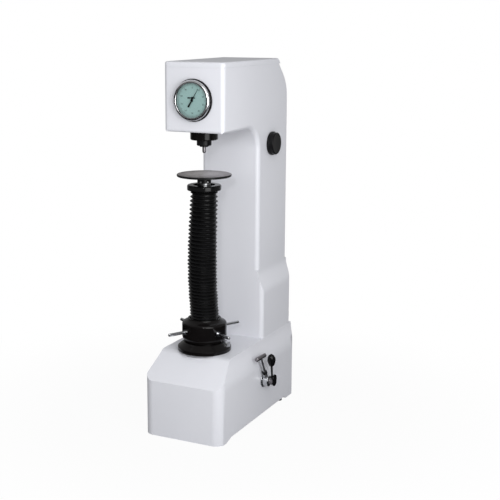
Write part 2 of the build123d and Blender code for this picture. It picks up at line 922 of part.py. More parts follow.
with BuildPart() as pointer:
    with BuildSketch(Plane.XZ.offset(36)):
        with Locations((0, dial_z)):
            Circle(1.5)
    extrude(amount=-pointer_y - 36 + 0.6)
    with BuildSketch(dial_plane(pointer_y + pointer_thickness / 2, pointer_angle)):
        Circle(4)
        with BuildLine():
            Polyline(
                (-2.5, -pointer_tail),
                (2.5, -pointer_tail),
                (1.2, 0),
                (0.3, pointer_length),
                (-0.3, pointer_length),
                (-1.2, 0),
                close=True,
            )
        make_face()
    extrude(amount=pointer_thickness)
save(pointer.part, "pointer")

with BuildPart() as small_pointer:
    with BuildSketch(Plane.XZ.offset(51)):
        with Locations((0, small_pointer_z)):
            Circle(1.5)
    extrude(amount=18)
    with BuildSketch(dial_plane(small_pointer_y, 0)):
        with Locations((0, small_pointer_z - dial_z)):
            Circle(3.2)
        with BuildLine():
            Polyline(
                (-13.5, small_pointer_z - dial_z - 1.8),
                (9, small_pointer_z - dial_z - 1.1),
                (9, small_pointer_z - dial_z + 1.1),
                (-13.5, small_pointer_z - dial_z + 1.8),
                close=True,
            )
        make_face()
    extrude(amount=0.7)
save(small_pointer.part, "small_pointer")

# ---------------------------------------------------------------- beam and weights
with BuildPart() as load_beam:
    with BuildSketch(Plane.YZ):
        with BuildLine():
            Polyline(
                (fulcrum_y - 11, beam_bottom + 3),
                (fulcrum_y - 8, beam_bottom),
                (hanger_y + 15, beam_bottom),
                (hanger_y + 15, beam_top - 4),
                (60, beam_top),
                (fulcrum_y - 8, beam_top),
                (fulcrum_y - 11, beam_top - 3),
                close=True,
            )
        make_face()
    extrude(amount=beam_half_width, both=True)
    with BuildSketch(Plane.YZ):
        with Locations((fulcrum_y, fulcrum_z)):
            Circle(11)
    extrude(amount=cheek_inner - 0.5, both=True)
    with BuildSketch(Plane.YZ):
        with BuildLine():
            Polyline((-5, beam_bottom), (5, beam_bottom), (1, beam_bottom - 2), (-1, beam_bottom - 2), close=True)
        make_face()
    extrude(amount=8, both=True)
    with BuildSketch(Plane.YZ):
        with Locations((fulcrum_y, fulcrum_z), (hanger_y, hanger_pin_z)):
            Circle(5 + running_gap)
    extrude(amount=cheek_inner, both=True, mode=Mode.SUBTRACT)
save(load_beam.part, "load_beam")

with BuildPart() as weight_hanger:
    with BuildSketch(Plane.YZ):
        with Locations((hanger_y, hanger_pin_z)):
            Circle(5)
    extrude(amount=beam_half_width + 6, both=True)
    with BuildSketch(Plane.YZ.offset(beam_half_width + 1)):
        with Locations((hanger_y, hanger_pin_z)):
            Circle(9)
        with Locations((hanger_y, hanger_pin_z - 20)):
            Rectangle(18, 40)
    extrude(amount=4)
    mirror(about=Plane.YZ)
    with BuildSketch(Plane.XY.offset(hanger_pin_z - 40)):
        with Locations((0, hanger_y)):
            Rectangle(2 * beam_half_width + 10, 18)
    extrude(amount=8)
    with BuildSketch(Plane.XY.offset(weight_bottoms[0] - 6)):
        with Locations((0, hanger_y)):
            Circle(5)
    extrude(amount=hanger_pin_z - 38 - weight_bottoms[0] + 6)
    with BuildSketch(Plane.XY.offset(weight_bottoms[0] - 6)):
        with Locations((0, hanger_y)):
            Circle(30)
    extrude(amount=6)
    for bottom in weight_bottoms[1:]:
        with BuildSketch(Plane.XY.offset(bottom - 3)):
            with Locations((0, hanger_y)):
                Circle(8)
        extrude(amount=3)
save(weight_hanger.part, "weight_hanger")

for weight_name, bottom, height in zip(
    ("lower_weight", "middle_weight", "upper_weight"), weight_bottoms, weight_heights
):
    with BuildPart() as weight:
        with BuildSketch(Plane.XY.offset(bottom)):
            with Locations((0, hanger_y)):
                Circle(weight_radius)
                Circle(5.5, mode=Mode.SUBTRACT)
        extrude(amount=height)
        outer_edges = weight.edges().filter_by(GeomType.CIRCLE).sort_by(Edge.length.fget)[-2:]
        chamfer(outer_edges, 2)
    save(weight.part, weight_name)

# ---------------------------------------------------------------- load handle
with BuildPart() as load_shaft_bush:
    with BuildSketch(Plane.YZ.offset(flange_seat - 36)):
        with Locations((shaft_y, shaft_z)):
            Circle(10)
            Circle(load_shaft_radius + running_gap, mode=Mode.SUBTRACT)
    extrude(amount=36)
    with BuildSketch(Plane.YZ.offset(flange_seat)):
        with Locations((shaft_y, shaft_z)):
            Circle(20)
            Circle(load_shaft_radius + running_gap, mode=Mode.SUBTRACT)
    extrude(amount=4)
save(load_shaft_bush.part, "load_shaft_bush")

with BuildPart() as load_shaft:
    with BuildSketch(Plane.YZ.offset(load_cam_x - 4)):
        with Locations((shaft_y, shaft_z)):
            Circle(load_shaft_radius)
    extrude(amount=reach_right - end_cap_thickness - load_cam_x + 4)
save(load_shaft.part, "load_shaft")

with BuildPart() as load_cam:
    drop_rate = -load_drop / load_turn
    load_offset = load_roller_radius + curved_gap
    cam_angles = [load_turn * (k / 12) - 0.2 + 0.4 * (k / 12) for k in range(13)]
    with BuildSketch(side_plane(load_cam_x, shaft_y, shaft_z)):
        with BuildLine():
            working = Spline(
                *[cam_edge(load_roller_distance, drop_rate, load_offset, a) for a in cam_angles]
            )
            Polyline(working @ 1, (8, -12), (-8, -12), (-18, 4), working @ 0)
        make_face()
        Circle(load_shaft_radius, mode=Mode.SUBTRACT)
    extrude(amount=cam_width)
save(load_cam.part, "load_cam")

with BuildPart() as load_hub:
    with BuildSketch(Plane.YZ.offset(flange_seat + 4.6)):
        with Locations((shaft_y, shaft_z)):
            Circle(hub_outer)
            Circle(load_shaft_radius, mode=Mode.SUBTRACT)
    extrude(amount=load_face - flange_seat - 4.6)
    chamfer(load_hub.faces().sort_by(Axis.X)[-1].edges(), 0.8)
    handle_plane = Plane(
        origin=(handle_x, shaft_y, shaft_z), z_dir=(0, -sin(handle_lean), cos(handle_lean))
    )
    with BuildSketch(handle_plane.offset(hub_outer - 4)):
        Circle(handle_rod_radius)
    extrude(amount=6, mode=Mode.SUBTRACT)
save(load_hub.part, "load_hub")

with BuildPart() as handle_rod:
    with BuildSketch(handle_plane.offset(hub_outer - 4)):
        Circle(handle_rod_radius)
    extrude(amount=handle_length - hub_outer + 4)
    with BuildSketch(handle_plane.offset(hub_outer)):
        Circle(6.5)
    extrude(amount=neck_reach - hub_outer)
save(handle_rod.part, "handle_rod")

with BuildPart() as handle_nut:
    with BuildSketch(handle_plane.offset(neck_reach)):
        RegularPolygon(7.8, 6)
        Circle(handle_rod_radius, mode=Mode.SUBTRACT)
    extrude(amount=nut_height)
save(handle_nut.part, "handle_nut")

with BuildPart() as handle_grip:
    grip_centre = (
        handle_x,
        shaft_y - handle_length * sin(handle_lean),
        shaft_z + handle_length * cos(handle_lean),
    )
    with BuildSketch(Plane(origin=grip_centre, z_dir=(0, cos(grip_rise), sin(grip_rise)))):
        Circle(6)
    extrude(amount=29, both=True)
    fillet(handle_grip.edges().filter_by(GeomType.CIRCLE), 2)
    with BuildSketch(handle_plane.offset(handle_length - 10)):
        Circle(handle_rod_radius)
    extrude(amount=10, mode=Mode.SUBTRACT)
save(handle_grip.part, "handle_grip")

with BuildPart() as ball_lever:
    lever_way = (0, -sin(lever_lean), cos(lever_lean))
    lever_plane = Plane(origin=(lever_x, shaft_y, shaft_z), x_dir=(1, 0, 0), z_dir=lever_way)
    with BuildSketch(Plane.YZ.offset(load_face)):
        with Locations((shaft_y, shaft_z)):
            Circle(lever_collar_radius)
            Circle(load_shaft_radius, mode=Mode.SUBTRACT)
    extrude(amount=reach_right - end_cap_thickness - load_face)
    with BuildSketch(lever_plane.offset(lever_collar_radius - 1)):
        Circle(3)
    extrude(amount=lever_length - lever_collar_radius + 1)
save(ball_lever.part, "ball_lever")

with BuildPart() as ball_knob:
    knob_centre = (
        lever_x,
        shaft_y - lever_length * sin(lever_lean),
        shaft_z + lever_length * cos(lever_lean),
    )
    with BuildSketch(
        Plane(origin=knob_centre, x_dir=(1, 0, 0), z_dir=(0, -cos(lever_lean), -sin(lever_lean)))
    ):
        with BuildLine():
            Spline((3, -18), (11, -8), (12, 3), (7, 15), (0, 19), tangents=((1, 0.4), (-1, 0)))
            Polyline((0, 19), (0, 0), (3, 0), (3, -18))
        make_face()
    revolve(axis=Axis(knob_centre, lever_way))
save(ball_knob.part, "ball_knob")

with BuildPart() as end_cap:
    with BuildSketch(Plane.YZ.offset(reach_right - end_cap_thickness)):
        with Locations((shaft_y, shaft_z), (shaft_y, shaft_z + end_cap_rise)):
            Circle(end_cap_radius)
        with Locations((shaft_y, shaft_z + end_cap_rise / 2)):
            Rectangle(2 * end_cap_radius, end_cap_rise)
    extrude(amount=end_cap_thickness)
    fillet(end_cap.faces().sort_by(Axis.X)[-1].edges(), 1.5)
save(end_cap.part, "end_cap")

# ---------------------------------------------------------------- push rod and dashpot
with BuildPart() as lifting_yoke:
    roller_z = shaft_z + load_roller_distance
    with BuildSketch(Plane.YZ.offset(load_cam_x)):
        with Locations((shaft_y, roller_z)):
            Circle(load_roller_radius)
        with Locations((shaft_y, roller_z + 6)):
            Rectangle(12, 12)
    extrude(amount=cam_width)
    with BuildSketch(Plane.XY.offset(roller_z + 7)):
        with BuildLine():
            Polyline(
                (load_cam_x + cam_width, shaft_y - 6),
                (load_cam_x + cam_width, shaft_y + 6),
                (6, push_rod_y + 10),
                (-9, push_rod_y + 4),
                (-6, push_rod_y - 8),
                (load_cam_x, shaft_y - 6),
                close=True,
            )
        make_face()
    extrude(amount=8)
    with BuildSketch(Plane.XY.offset(roller_z + 2)):
        with Locations((0, push_rod_y)):
            Circle(11)
    extrude(amount=24)
    with BuildSketch(Plane.XY.offset(roller_z + 6)):
        with Locations((0, push_rod_y)):
            Circle(push_rod_radius)
    extrude(amount=24, mode=Mode.SUBTRACT)
save(lifting_yoke.part, "lifting_yoke")

with BuildPart() as push_rod:
    with BuildSketch(Plane.XY.offset(roller_z + 6)):
        with Locations((0, push_rod_y)):
            Circle(push_rod_radius)
    extrude(amount=beam_bottom - curved_gap - roller_z - 6)
    chamfer(push_rod.faces().sort_by(Axis.Z)[-1].edges(), 3.5)
save(push_rod.part, "push_rod")

with BuildPart() as rod_guides:
    with BuildSketch(Plane.XY.offset(lower_guide_z), Plane.XY.offset(push_guide_z)):
        with Locations((0, column_front + wall + 21)):
            Rectangle(44, 42)
        with Locations((0, push_rod_y)):
            Circle(push_rod_radius + running_gap, mode=Mode.SUBTRACT)
    extrude(amount=12)
    with BuildSketch(Plane.XY.offset(lower_guide_z), Plane.XY.offset(carrier_guide_z)):
        with Locations((head_width / 2 - wall - 13, carrier_y)):
            Rectangle(26, 22)
        with Locations((carrier_x, carrier_y)):
            Circle(carrier_rod_radius + running_gap, mode=Mode.SUBTRACT)
    extrude(amount=12)
save(rod_guides.part, "rod_guides")

with BuildPart() as dashpot_bracket:
    with BuildSketch(Plane.XY.offset(34)):
        with Locations((0, push_rod_y - 9)):
            Rectangle(56, 74)
    extrude(amount=6)
    with BuildSketch(Plane.XY.offset(34)):
        with Locations((0, push_rod_y - 43)):
            Rectangle(56, 6)
    extrude(amount=base_top - wall - 34)
    with BuildSketch(Plane.XY.offset(base_top - wall - 6)):
        with Locations((0, push_rod_y - 55)):
            Rectangle(56, 30)
    extrude(amount=6)
save(dashpot_bracket.part, "dashpot_bracket")

with BuildPart() as dashpot_cylinder:
    with BuildSketch(Plane.XZ.offset(-push_rod_y)):
        with BuildLine():
            Polyline(
                (0, 40),
                (27, 40),
                (27, 130),
                (4.2, 130),
                (4.2, 125),
                (23, 125),
                (23, 46),
                (0, 46),
                close=True,
            )
        make_face()
    revolve(axis=Axis((0, push_rod_y, 0), (0, 0, 1)))
save(dashpot_cylinder.part, "dashpot_cylinder")

with BuildPart() as dashpot_piston:
    with BuildSketch(Plane.XY.offset(80)):
        with Locations((0, push_rod_y)):
            Circle(4)
    extrude(amount=roller_z + 2 - 80)
    with BuildSketch(Plane.XY.offset(80)):
        with Locations((0, push_rod_y)):
            Circle(23 - running_gap)
    extrude(amount=12)
save(dashpot_piston.part, "dashpot_piston")

# ---------------------------------------------------------------- load selector
with BuildPart() as selector_knob:
    with BuildSketch(Plane.YZ.offset(head_width / 2 + 0.8)):
        with Locations((selector_y, selector_z)):
            Circle(knob_radius)
    extrude(amount=8)
    with BuildSketch(Plane.YZ.offset(head_width / 2 + 8.8)):
        with Locations((selector_y, selector_z)):
            Circle(knob_face_radius + 1)
    extrude(amount=10, taper=5)
    fillet(selector_knob.faces().sort_by(Axis.X)[-1].edges(), 1.5)
save(selector_knob.part, "selector_knob")

with BuildPart() as selector_shaft:
    with BuildSketch(Plane.YZ.offset(selector_cam_x - 4)):
        with Locations((selector_y, selector_z)):
            Circle(selector_shaft_radius)
    extrude(amount=head_width / 2 + 0.8 - selector_cam_x + 4)
    rise_rate = selector_rise / pi
    selector_offset = selector_roller_radius + curved_gap
    selector_angles = [(pi + 0.5) * (k / 24) - 0.25 for k in range(25)]
    with BuildSketch(side_plane(selector_cam_x, selector_y, selector_z)):
        with BuildLine():
            lobe = Spline(
                *[
                    cam_edge(selector_roller_distance, rise_rate, selector_offset, a)
                    for a in selector_angles
                ]
            )
            ThreePointArc(lobe @ 1, (-25, 0), lobe @ 0)
        make_face()
    extrude(amount=9)
save(selector_shaft.part, "selector_shaft")

with BuildPart() as weight_carrier:
    carrier_roller_z = selector_z + selector_roller_distance
    with BuildSketch(Plane.XY.offset(carrier_rod_bottom)):
        with Locations((carrier_x, carrier_y)):
            Circle(carrier_rod_radius)
    extrude(amount=carrier_roller_z + 18 - carrier_rod_bottom)
    with BuildSketch(Plane.XY.offset(carrier_roller_z + 8)):
        with Locations((carrier_x, (selector_y + carrier_y) / 2)):
            Rectangle(12, carrier_y - selector_y + 12)
    extrude(amount=10)
    with BuildSketch(Plane.YZ.offset(selector_cam_x)):
        with Locations((selector_y, carrier_roller_z)):
            Circle(selector_roller_radius)
        with Locations((selector_y, carrier_roller_z + 5)):
            Rectangle(10, 10)
    extrude(amount=9)
    fork_levels = [bottom - 31.5 for bottom in weight_bottoms[1:]]
    for fork_level in fork_levels:
        with BuildSketch(Plane.XY.offset(fork_level)):
            with Locations(((carrier_x + 6 - 30) / 2, 276)):
                Rectangle(carrier_x + 36, 44)
            with Locations((-12, hanger_y)):
                Rectangle(48, 20, mode=Mode.SUBTRACT)
        extrude(amount=3)
save(weight_carrier.part, "weight_carrier")
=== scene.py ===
# %% [markdown]
# # A bench hardness tester
# The CAD model gives every piece its place and its size. This lesson dresses that frame in Blender.
# Each cell says what a piece is on the real machine, how it could be made, and why one way was chosen.
# Round pieces are turned from an outline, as on a lathe. Cast pieces are softened copies of the CAD piece.

# %% Load the frame
import json
import math
import bpy
from mathutils import Matrix, Vector


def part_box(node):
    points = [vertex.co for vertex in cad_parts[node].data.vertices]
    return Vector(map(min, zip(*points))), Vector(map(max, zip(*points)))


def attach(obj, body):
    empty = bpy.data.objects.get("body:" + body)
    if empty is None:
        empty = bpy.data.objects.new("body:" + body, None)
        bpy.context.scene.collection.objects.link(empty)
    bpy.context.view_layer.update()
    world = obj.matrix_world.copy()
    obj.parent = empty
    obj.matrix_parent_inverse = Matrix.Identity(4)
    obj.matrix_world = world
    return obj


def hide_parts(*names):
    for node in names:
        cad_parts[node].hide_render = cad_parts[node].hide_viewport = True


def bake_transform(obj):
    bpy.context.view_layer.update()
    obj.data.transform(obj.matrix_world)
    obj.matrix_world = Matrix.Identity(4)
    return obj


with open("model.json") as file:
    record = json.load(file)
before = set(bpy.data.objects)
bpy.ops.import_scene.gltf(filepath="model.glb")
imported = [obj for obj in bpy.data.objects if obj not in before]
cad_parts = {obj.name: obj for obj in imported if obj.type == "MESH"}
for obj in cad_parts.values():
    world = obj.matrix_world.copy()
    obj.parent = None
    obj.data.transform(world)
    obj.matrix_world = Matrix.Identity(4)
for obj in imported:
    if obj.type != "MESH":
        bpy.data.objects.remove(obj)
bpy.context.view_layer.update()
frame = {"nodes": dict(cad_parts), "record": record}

# %% [markdown]
# All sizes below are in millimetres, from the bench up, and a round piece is measured from its own axis.
# The screw and the spindle share one upright axis, so its place in plan is read once from the test table.

# %% Places that many pieces share
mm = 0.001
low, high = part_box("test_table")
axis_x = (low.x + high.x) / 2
axis_y = (low.y + high.y) / 2


def spot(x, y, z):
    """A point given in millimetres from the screw axis and the bench, in metres."""
    return Vector((axis_x + x * mm, axis_y + y * mm, z * mm))


print("screw axis at", round(axis_x, 4), round(axis_y, 4))

# %% [markdown]
# Blender's tools act on whatever is selected, and the frame arrives selected.
# So every new piece starts with nothing selected, and ends with its place held in its mesh.

# %% Select, settle and smooth
def start_fresh():
    """Leave edit mode and select nothing."""
    if bpy.context.object and bpy.context.object.mode != "OBJECT":
        bpy.ops.object.mode_set(mode="OBJECT")
    bpy.ops.object.select_all(action="DESELECT")


def hold(piece):
    """Make one piece the selected and active one."""
    start_fresh()
    piece.select_set(True)
    bpy.context.view_layer.objects.active = piece


def settle(piece):
    """Put the object's place, turn and scale into its mesh."""
    hold(piece)
    bpy.ops.object.transform_apply(location=True, rotation=True, scale=True)


def apply_modifier(piece, kind, **settings):
    """Add a modifier with its settings and apply it."""
    hold(piece)
    modifier = piece.modifiers.new(kind.title(), kind)
    for key, value in settings.items():
        setattr(modifier, key, value)
    bpy.ops.object.modifier_apply(modifier=modifier.name)


def smooth(piece, angle=32):
    """Smooth the faces that meet at less than this angle, and keep flat faces flat."""
    hold(piece)
    bpy.ops.object.shade_smooth_by_angle(angle=math.radians(angle))
    apply_modifier(piece, "WEIGHTED_NORMAL", keep_sharp=True, weight=100)


def triangles(piece):
    piece.data.calc_loop_triangles()
    return len(piece.data.loop_triangles)


# %% [markdown]
# ## Finishes
# A finish is a node recipe. Writing shader arithmetic node by node is slow to read,
# so a small class wraps a socket: adding or multiplying two wires adds the Math node for it.

# %% Wires: sockets that can be added and multiplied
class Wire:
    """An output socket of a finish, with arithmetic."""

    def __init__(self, finish, socket):
        self.finish = finish
        self.socket = socket

    def sum_node(self, operation, first, second):
        return self.finish.add("ShaderNodeMath", {"operation": operation}, {0: first, 1: second})

    def __add__(self, other):
        return self.sum_node("ADD", self, other)

    def __radd__(self, other):
        return self.sum_node("ADD", other, self)

    def __mul__(self, other):
        return self.sum_node("MULTIPLY", self, other)

    def __rmul__(self, other):
        return self.sum_node("MULTIPLY", other, self)


# %% [markdown]
# A finish holds one Principled shader. Numbers that are the same all over are set straight on its sockets,
# and only what changes over the surface comes in through a wire.

# %% Finishes: one material each
class Finish:
    """A material with one Principled shader and one way to add nodes."""

    def __init__(self, name, **sockets):
        self.material = bpy.data.materials.new(name)
        self.material.use_nodes = True
        self.tree = self.material.node_tree
        self.shader = self.tree.nodes["Principled BSDF"]
        self.set(**sockets)

    def set(self, **sockets):
        for key, value in sockets.items():
            self.plug(self.shader.inputs[key.replace("_", " ")], value)

    def plug(self, socket, value):
        if isinstance(value, Wire):
            self.tree.links.new(value.socket, socket)
        elif isinstance(value, tuple) and len(value) == 3 and socket.type == "RGBA":
            socket.default_value = (*value, 1)
        else:
            socket.default_value = value

    def add(self, kind, settings=None, sockets=None, output=0):
        """Any node: its type, its settings, then the values or wires of its sockets."""
        node = self.tree.nodes.new(kind)
        for key, value in (settings or {}).items():
            setattr(node, key, value)
        for key, value in (sockets or {}).items():
            self.plug(node.inputs[key], value)
        return Wire(self, node.outputs[output])

    def where(self, centre=(0, 0, 0), scale=(1, 1, 1)):
        """Object coordinates, centred on a point and scaled."""
        place = self.add("ShaderNodeTexCoord", output="Object")
        moved = self.add("ShaderNodeVectorMath", {"operation": "SUBTRACT"}, {0: place, 1: centre})
        return self.add("ShaderNodeMapping", {"vector_type": "POINT"}, {"Vector": moved, "Scale": scale})

    def how_far(self, centre=(0, 0, 0), scale=(1, 1, 1)):
        """The distance from a point, along the directions that scale keeps."""
        return self.add("ShaderNodeVectorMath", {"operation": "LENGTH"}, {0: self.where(centre, scale)}, output=1)

    def fade(self, value, **ends):
        """A soft step between two values: From_Min, From_Max and, if given, To_Min and To_Max."""
        sockets = {key.replace("_", " "): end for key, end in ends.items()}
        return self.add("ShaderNodeMapRange", {"interpolation_type": "SMOOTHSTEP"}, {"Value": value, **sockets})

    def speckle(self, size, detail=3.0, place=None, roughness=0.5):
        """Noise whose features are about this many millimetres across, from 0 to 1."""
        return self.add(
            "ShaderNodeTexNoise",
            {"noise_dimensions": "3D"},
            {"Vector": place or self.where(), "Scale": 1000 / size, "Detail": detail, "Roughness": roughness},
        )

    def between(self, amount, first, second):
        """A colour that goes from first to second as amount goes from 0 to 1."""
        return self.add("ShaderNodeMix", {"data_type": "RGBA"}, {0: amount, 6: first, 7: second}, output=2)

    def bump(self, height, strength, depth):
        """A Normal from a height, with the relief's depth in millimetres."""
        return self.add("ShaderNodeBump", None, {"Height": height, "Strength": strength, "Distance": depth * mm})


finishes = {}
print("wires and finishes ready")

# %% [markdown]
# The machine is painted a pale, slightly cool grey. Sprayed enamel on a casting is never quite flat:
# it has a fine orange-peel texture, a slow waviness, and a trace of dust in broad patches.
# Noise at three sizes gives these, and stays weak so that broad faces still read as smooth.

# %% Grey machine enamel
def grey_enamel():
    finish = Finish("grey_paint", Coat_Weight=0.25, Coat_Roughness=0.18)
    peel = finish.speckle(1.6, detail=2.0)
    waves = finish.speckle(28, detail=1.0)
    cloud = finish.speckle(160, detail=2.0)
    finish.set(
        Base_Color=finish.between(cloud * 0.6 + peel * 0.3, (0.655, 0.665, 0.715), (0.715, 0.722, 0.765)),
        Roughness=0.36 + peel * 0.1 + cloud * 0.06,
        Normal=finish.bump(peel + waves * 1.5, 0.22, 0.09),
    )
    return finish.material


finishes["grey_paint"] = grey_enamel()
print("grey enamel mixed")

# %% [markdown]
# The seat, the handwheel and the flange carry thick black enamel. It is glossier than the grey,
# with a soft waviness that breaks up reflections, and faint rubbing where hands and rags pass.

# %% Black enamel, black plastic and black oxide
def black_gloss(name, shade, rough, coat, peel_size, peel_depth):
    finish = Finish(name, Coat_Weight=coat, Coat_Roughness=0.05, Specular_IOR_Level=0.14)
    peel = finish.speckle(peel_size, detail=2.0)
    rub = finish.speckle(22, detail=4.0, roughness=0.6)
    lighter = tuple(value * 1.9 for value in shade)
    finish.set(
        Base_Color=finish.between(rub * 0.7, shade, lighter),
        Roughness=rough + rub * 0.12,
        Normal=finish.bump(peel, 0.2, peel_depth),
    )
    return finish.material


finishes["black_enamel"] = black_gloss("black_enamel", (0.0035, 0.003, 0.003), 0.16, 0.12, 3.0, 0.05)
finishes["black_plastic"] = black_gloss("black_plastic", (0.003, 0.003, 0.0033), 0.12, 0.15, 6.0, 0.03)
finishes["black_aluminium"] = black_gloss("black_aluminium", (0.004, 0.004, 0.0045), 0.26, 0.05, 2.0, 0.03)
finishes["black_steel"] = black_gloss("black_steel", (0.006, 0.006, 0.0066), 0.3, 0.05, 1.2, 0.04)
print("black finishes mixed")

# %% [markdown]
# Ground and turned steel is not a mirror. The tool leaves fine lines in one direction,
# which stretch the highlights across them. Noise squeezed along one axis gives ground lines,
# and rings about the axis give turned ones.

# %% Bright ground steel, chrome, aluminium, cast iron and bronze
def ground_metal(name, shade, rough, along=(1, 1, 14), line_size=0.6, depth=0.02):
    finish = Finish(name, Metallic=1.0)
    lines = finish.speckle(line_size * 8, detail=3.0, place=finish.where(scale=along))
    stain = finish.speckle(35, detail=4.0)
    darker = tuple(value * 0.82 for value in shade)
    finish.set(
        Base_Color=finish.between(stain, shade, darker),
        Roughness=rough + lines * 0.12 + stain * 0.08,
        Normal=finish.bump(lines, 0.12, depth),
    )
    return finish.material


finishes["bright_steel"] = ground_metal("bright_steel", (0.66, 0.67, 0.69), 0.2)
plating = {"along": (1, 1, 1), "line_size": 3.0, "depth": 0.01}
finishes["chrome"] = ground_metal("chrome", (0.68, 0.69, 0.71), 0.08, **plating)
finishes["aluminium"] = ground_metal("aluminium", (0.75, 0.76, 0.78), 0.3)
finishes["bezel_chrome"] = ground_metal("bezel_chrome", (0.9, 0.91, 0.93), 0.12, **plating)
finishes["tool_steel"] = ground_metal("tool_steel", (0.3, 0.285, 0.3), 0.34)
finishes["bronze"] = ground_metal("bronze", (0.62, 0.43, 0.2), 0.26)


def cast_iron():
    finish = Finish("cast_iron", Metallic=0.3)
    grain = finish.speckle(1.4, detail=5.0, roughness=0.7)
    cloud = finish.speckle(40, detail=3.0)
    finish.set(
        Base_Color=finish.between(cloud, (0.12, 0.12, 0.125), (0.2, 0.2, 0.21)),
        Roughness=0.6 + grain * 0.25,
        Normal=finish.bump(grain, 0.5, 0.25),
    )
    return finish.material


finishes["cast_iron"] = cast_iron()
print("metals mixed")

# %% [markdown]
# The top of the test table is faced on a lathe and lightly oiled, so it shows fine rings about its centre.
# It is also painted lighter in the middle and darker towards its rim: a painted highlight for the streak of light that
# a turned face reflects.
# The distance from the axis, sent through a sine, gives rings; noise keeps them from being perfectly even.

# %% Turned table steel
table_radius = 75
ring_pitch = 1.1


def turned_steel():
    finish = Finish("table_steel", Metallic=1.0)
    radius = finish.how_far(centre=(axis_x, axis_y, 0), scale=(1, 1, 0))
    blot = finish.speckle(14, detail=5.0, roughness=0.75)
    # Painted highlight: this grows towards the rim, so the top is painted lighter in the middle and darker at the rim.
    edge = radius * (1 / (table_radius * mm))
    wave = radius * (2 * math.pi / (ring_pitch * mm)) + blot * 3
    rings = finish.add("ShaderNodeMath", {"operation": "SINE"}, {0: wave})
    stain_rings_and_painted_sheen = blot * 0.6 + edge * edge * 0.55 + rings * 0.06
    finish.set(
        Base_Color=finish.between(stain_rings_and_painted_sheen, (0.95, 0.9, 0.9), (0.14, 0.12, 0.12)),
        Roughness=0.3 + blot * 0.16,
        Normal=finish.bump(rings * 0.5 + 0.5, 0.25, 0.02),
    )
    return finish.material


finishes["table_steel"] = turned_steel()
print("table steel mixed")

# %% [markdown]
# The bellows is moulded rubber with a shine, like a new motorcycle fork gaiter.
# Its highlights run down the folds, so the roughness is low, with a slight dusting that dulls it in patches.

# %% Rubber
def bellows_rubber():
    finish = Finish("black_rubber", Specular_IOR_Level=0.2)
    dust = finish.speckle(30, detail=4.0, roughness=0.65)
    grain = finish.speckle(1.0, detail=2.0)
    finish.set(
        Base_Color=finish.between(dust * 0.5, (0.003, 0.003, 0.0033), (0.008, 0.008, 0.0088)),
        Roughness=0.24 + dust * 0.16,
        Normal=finish.bump(grain, 0.15, 0.05),
    )
    return finish.material


finishes["black_rubber"] = bellows_rubber()
print("rubber mixed")

# %% [markdown]
# The dial is a printed disc in a soft green that rests the eye. Print is matt and even,
# so it only needs a paper-like grain. It is painted darker in a band towards its rim, as painted shade under the
# bezel's wall.

# %% Dial green, ink and glass
def dial_print():
    finish = Finish("dial_green", Roughness=0.55)
    face_low, face_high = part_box("dial_face")
    radius = finish.how_far(centre=(axis_x, 0, (face_low.z + face_high.z) / 2), scale=(1, 0, 1))
    grain = finish.speckle(0.8, detail=2.0)
    # Painted shade: darker towards the rim, where the bezel's wall stands over the dial.
    painted_rim_shade = finish.fade(radius, From_Min=0.036, From_Max=0.046)
    finish.set(
        Base_Color=finish.between(painted_rim_shade * 0.55 + grain * 0.1, (0.42, 0.64, 0.62), (0.31, 0.43, 0.42)),
        Normal=finish.bump(grain, 0.1, 0.02),
    )
    return finish.material


def ink(name, shade):
    finish = Finish(name, Roughness=0.45)
    wear = finish.speckle(2.0, detail=3.0)
    finish.set(Base_Color=finish.between(wear * 0.5, shade, tuple(value * 1.6 + 0.01 for value in shade)))
    return finish.material


def clear_glass():
    finish = Finish("clear_glass", Roughness=0.03, Base_Color=(0.05, 0.08, 0.075))
    edge_on = finish.add("ShaderNodeFresnel", None, {"IOR": 1.5})
    haze = finish.speckle(14, detail=3.0)
    finish.set(Alpha=0.01 + haze * 0.015 + edge_on * 0.5)
    finish.material.surface_render_method = "BLENDED"
    return finish.material


finishes["dial_green"] = dial_print()
finishes["dial_ink"] = ink("dial_ink", (0.03, 0.05, 0.048))
finishes["clear_glass"] = clear_glass()
print("dial finishes mixed")

# %% [markdown]
# ## The camera, the studio and the floor
# The camera stands to the right of the dial and a little above it, with a long lens,
# so upright edges stay upright. The sideways shift keeps the machine in the middle of the frame.

# %% Camera
look_down, swing_right = 12.1, 27.0
camera_data = bpy.data.cameras.new("camera")
camera = bpy.data.objects.new("camera", camera_data)
bpy.context.scene.collection.objects.link(camera)
camera.location = (1.3304, -2.7131, 1.1371)
camera.rotation_euler = (math.radians(90 - look_down), 0, math.radians(swing_right))
camera_data.lens = 77.94
camera_data.sensor_width = 36
camera_data.shift_x = 0.074
camera_data.clip_end = 50
bpy.context.scene.camera = camera
print("camera at", tuple(round(v, 3) for v in camera.location))

# %% [markdown]
# The studio is plain: soft lamps on the right, above and on the left, and a small one for sparkle.
# They stand near, so the light falls off towards the back of the column. The left one only fills,
# and doesn't show in gloss.
# The surround is white to the camera. As light and in reflections it is dimmer, so that a colour renders
# about as it is written, black paint stays black, and chrome has something to show.

# %% Lamps and surround
def soft_lamp(name, place, target, size, power):
    data = bpy.data.lights.new(name, "AREA")
    data.shape = "SQUARE"
    data.size = size
    data.energy = power
    lamp = bpy.data.objects.new(name, data)
    bpy.context.scene.collection.objects.link(lamp)
    lamp.location = place
    lamp.visible_camera = False
    lamp.rotation_euler = (Vector(target) - Vector(place)).to_track_quat("-Z", "Y").to_euler()
    return lamp


soft_lamp("side_lamp", (1.1, -0.95, 0.8), (0, 0, 0.6), 0.9, 11.5)
soft_lamp("high_lamp", (0.7, -1.0, 1.5), (0, 0, 0.55), 0.9, 5.5)
left_lamp = soft_lamp("left_lamp", (-0.45, -1.35, 0.7), (0, 0, 0.55), 0.9, 1.6)
left_lamp.visible_glossy = False
soft_lamp("spark_lamp", (0.9, -2.3, 1.35), (0, 0, 0.5), 0.16, 8)

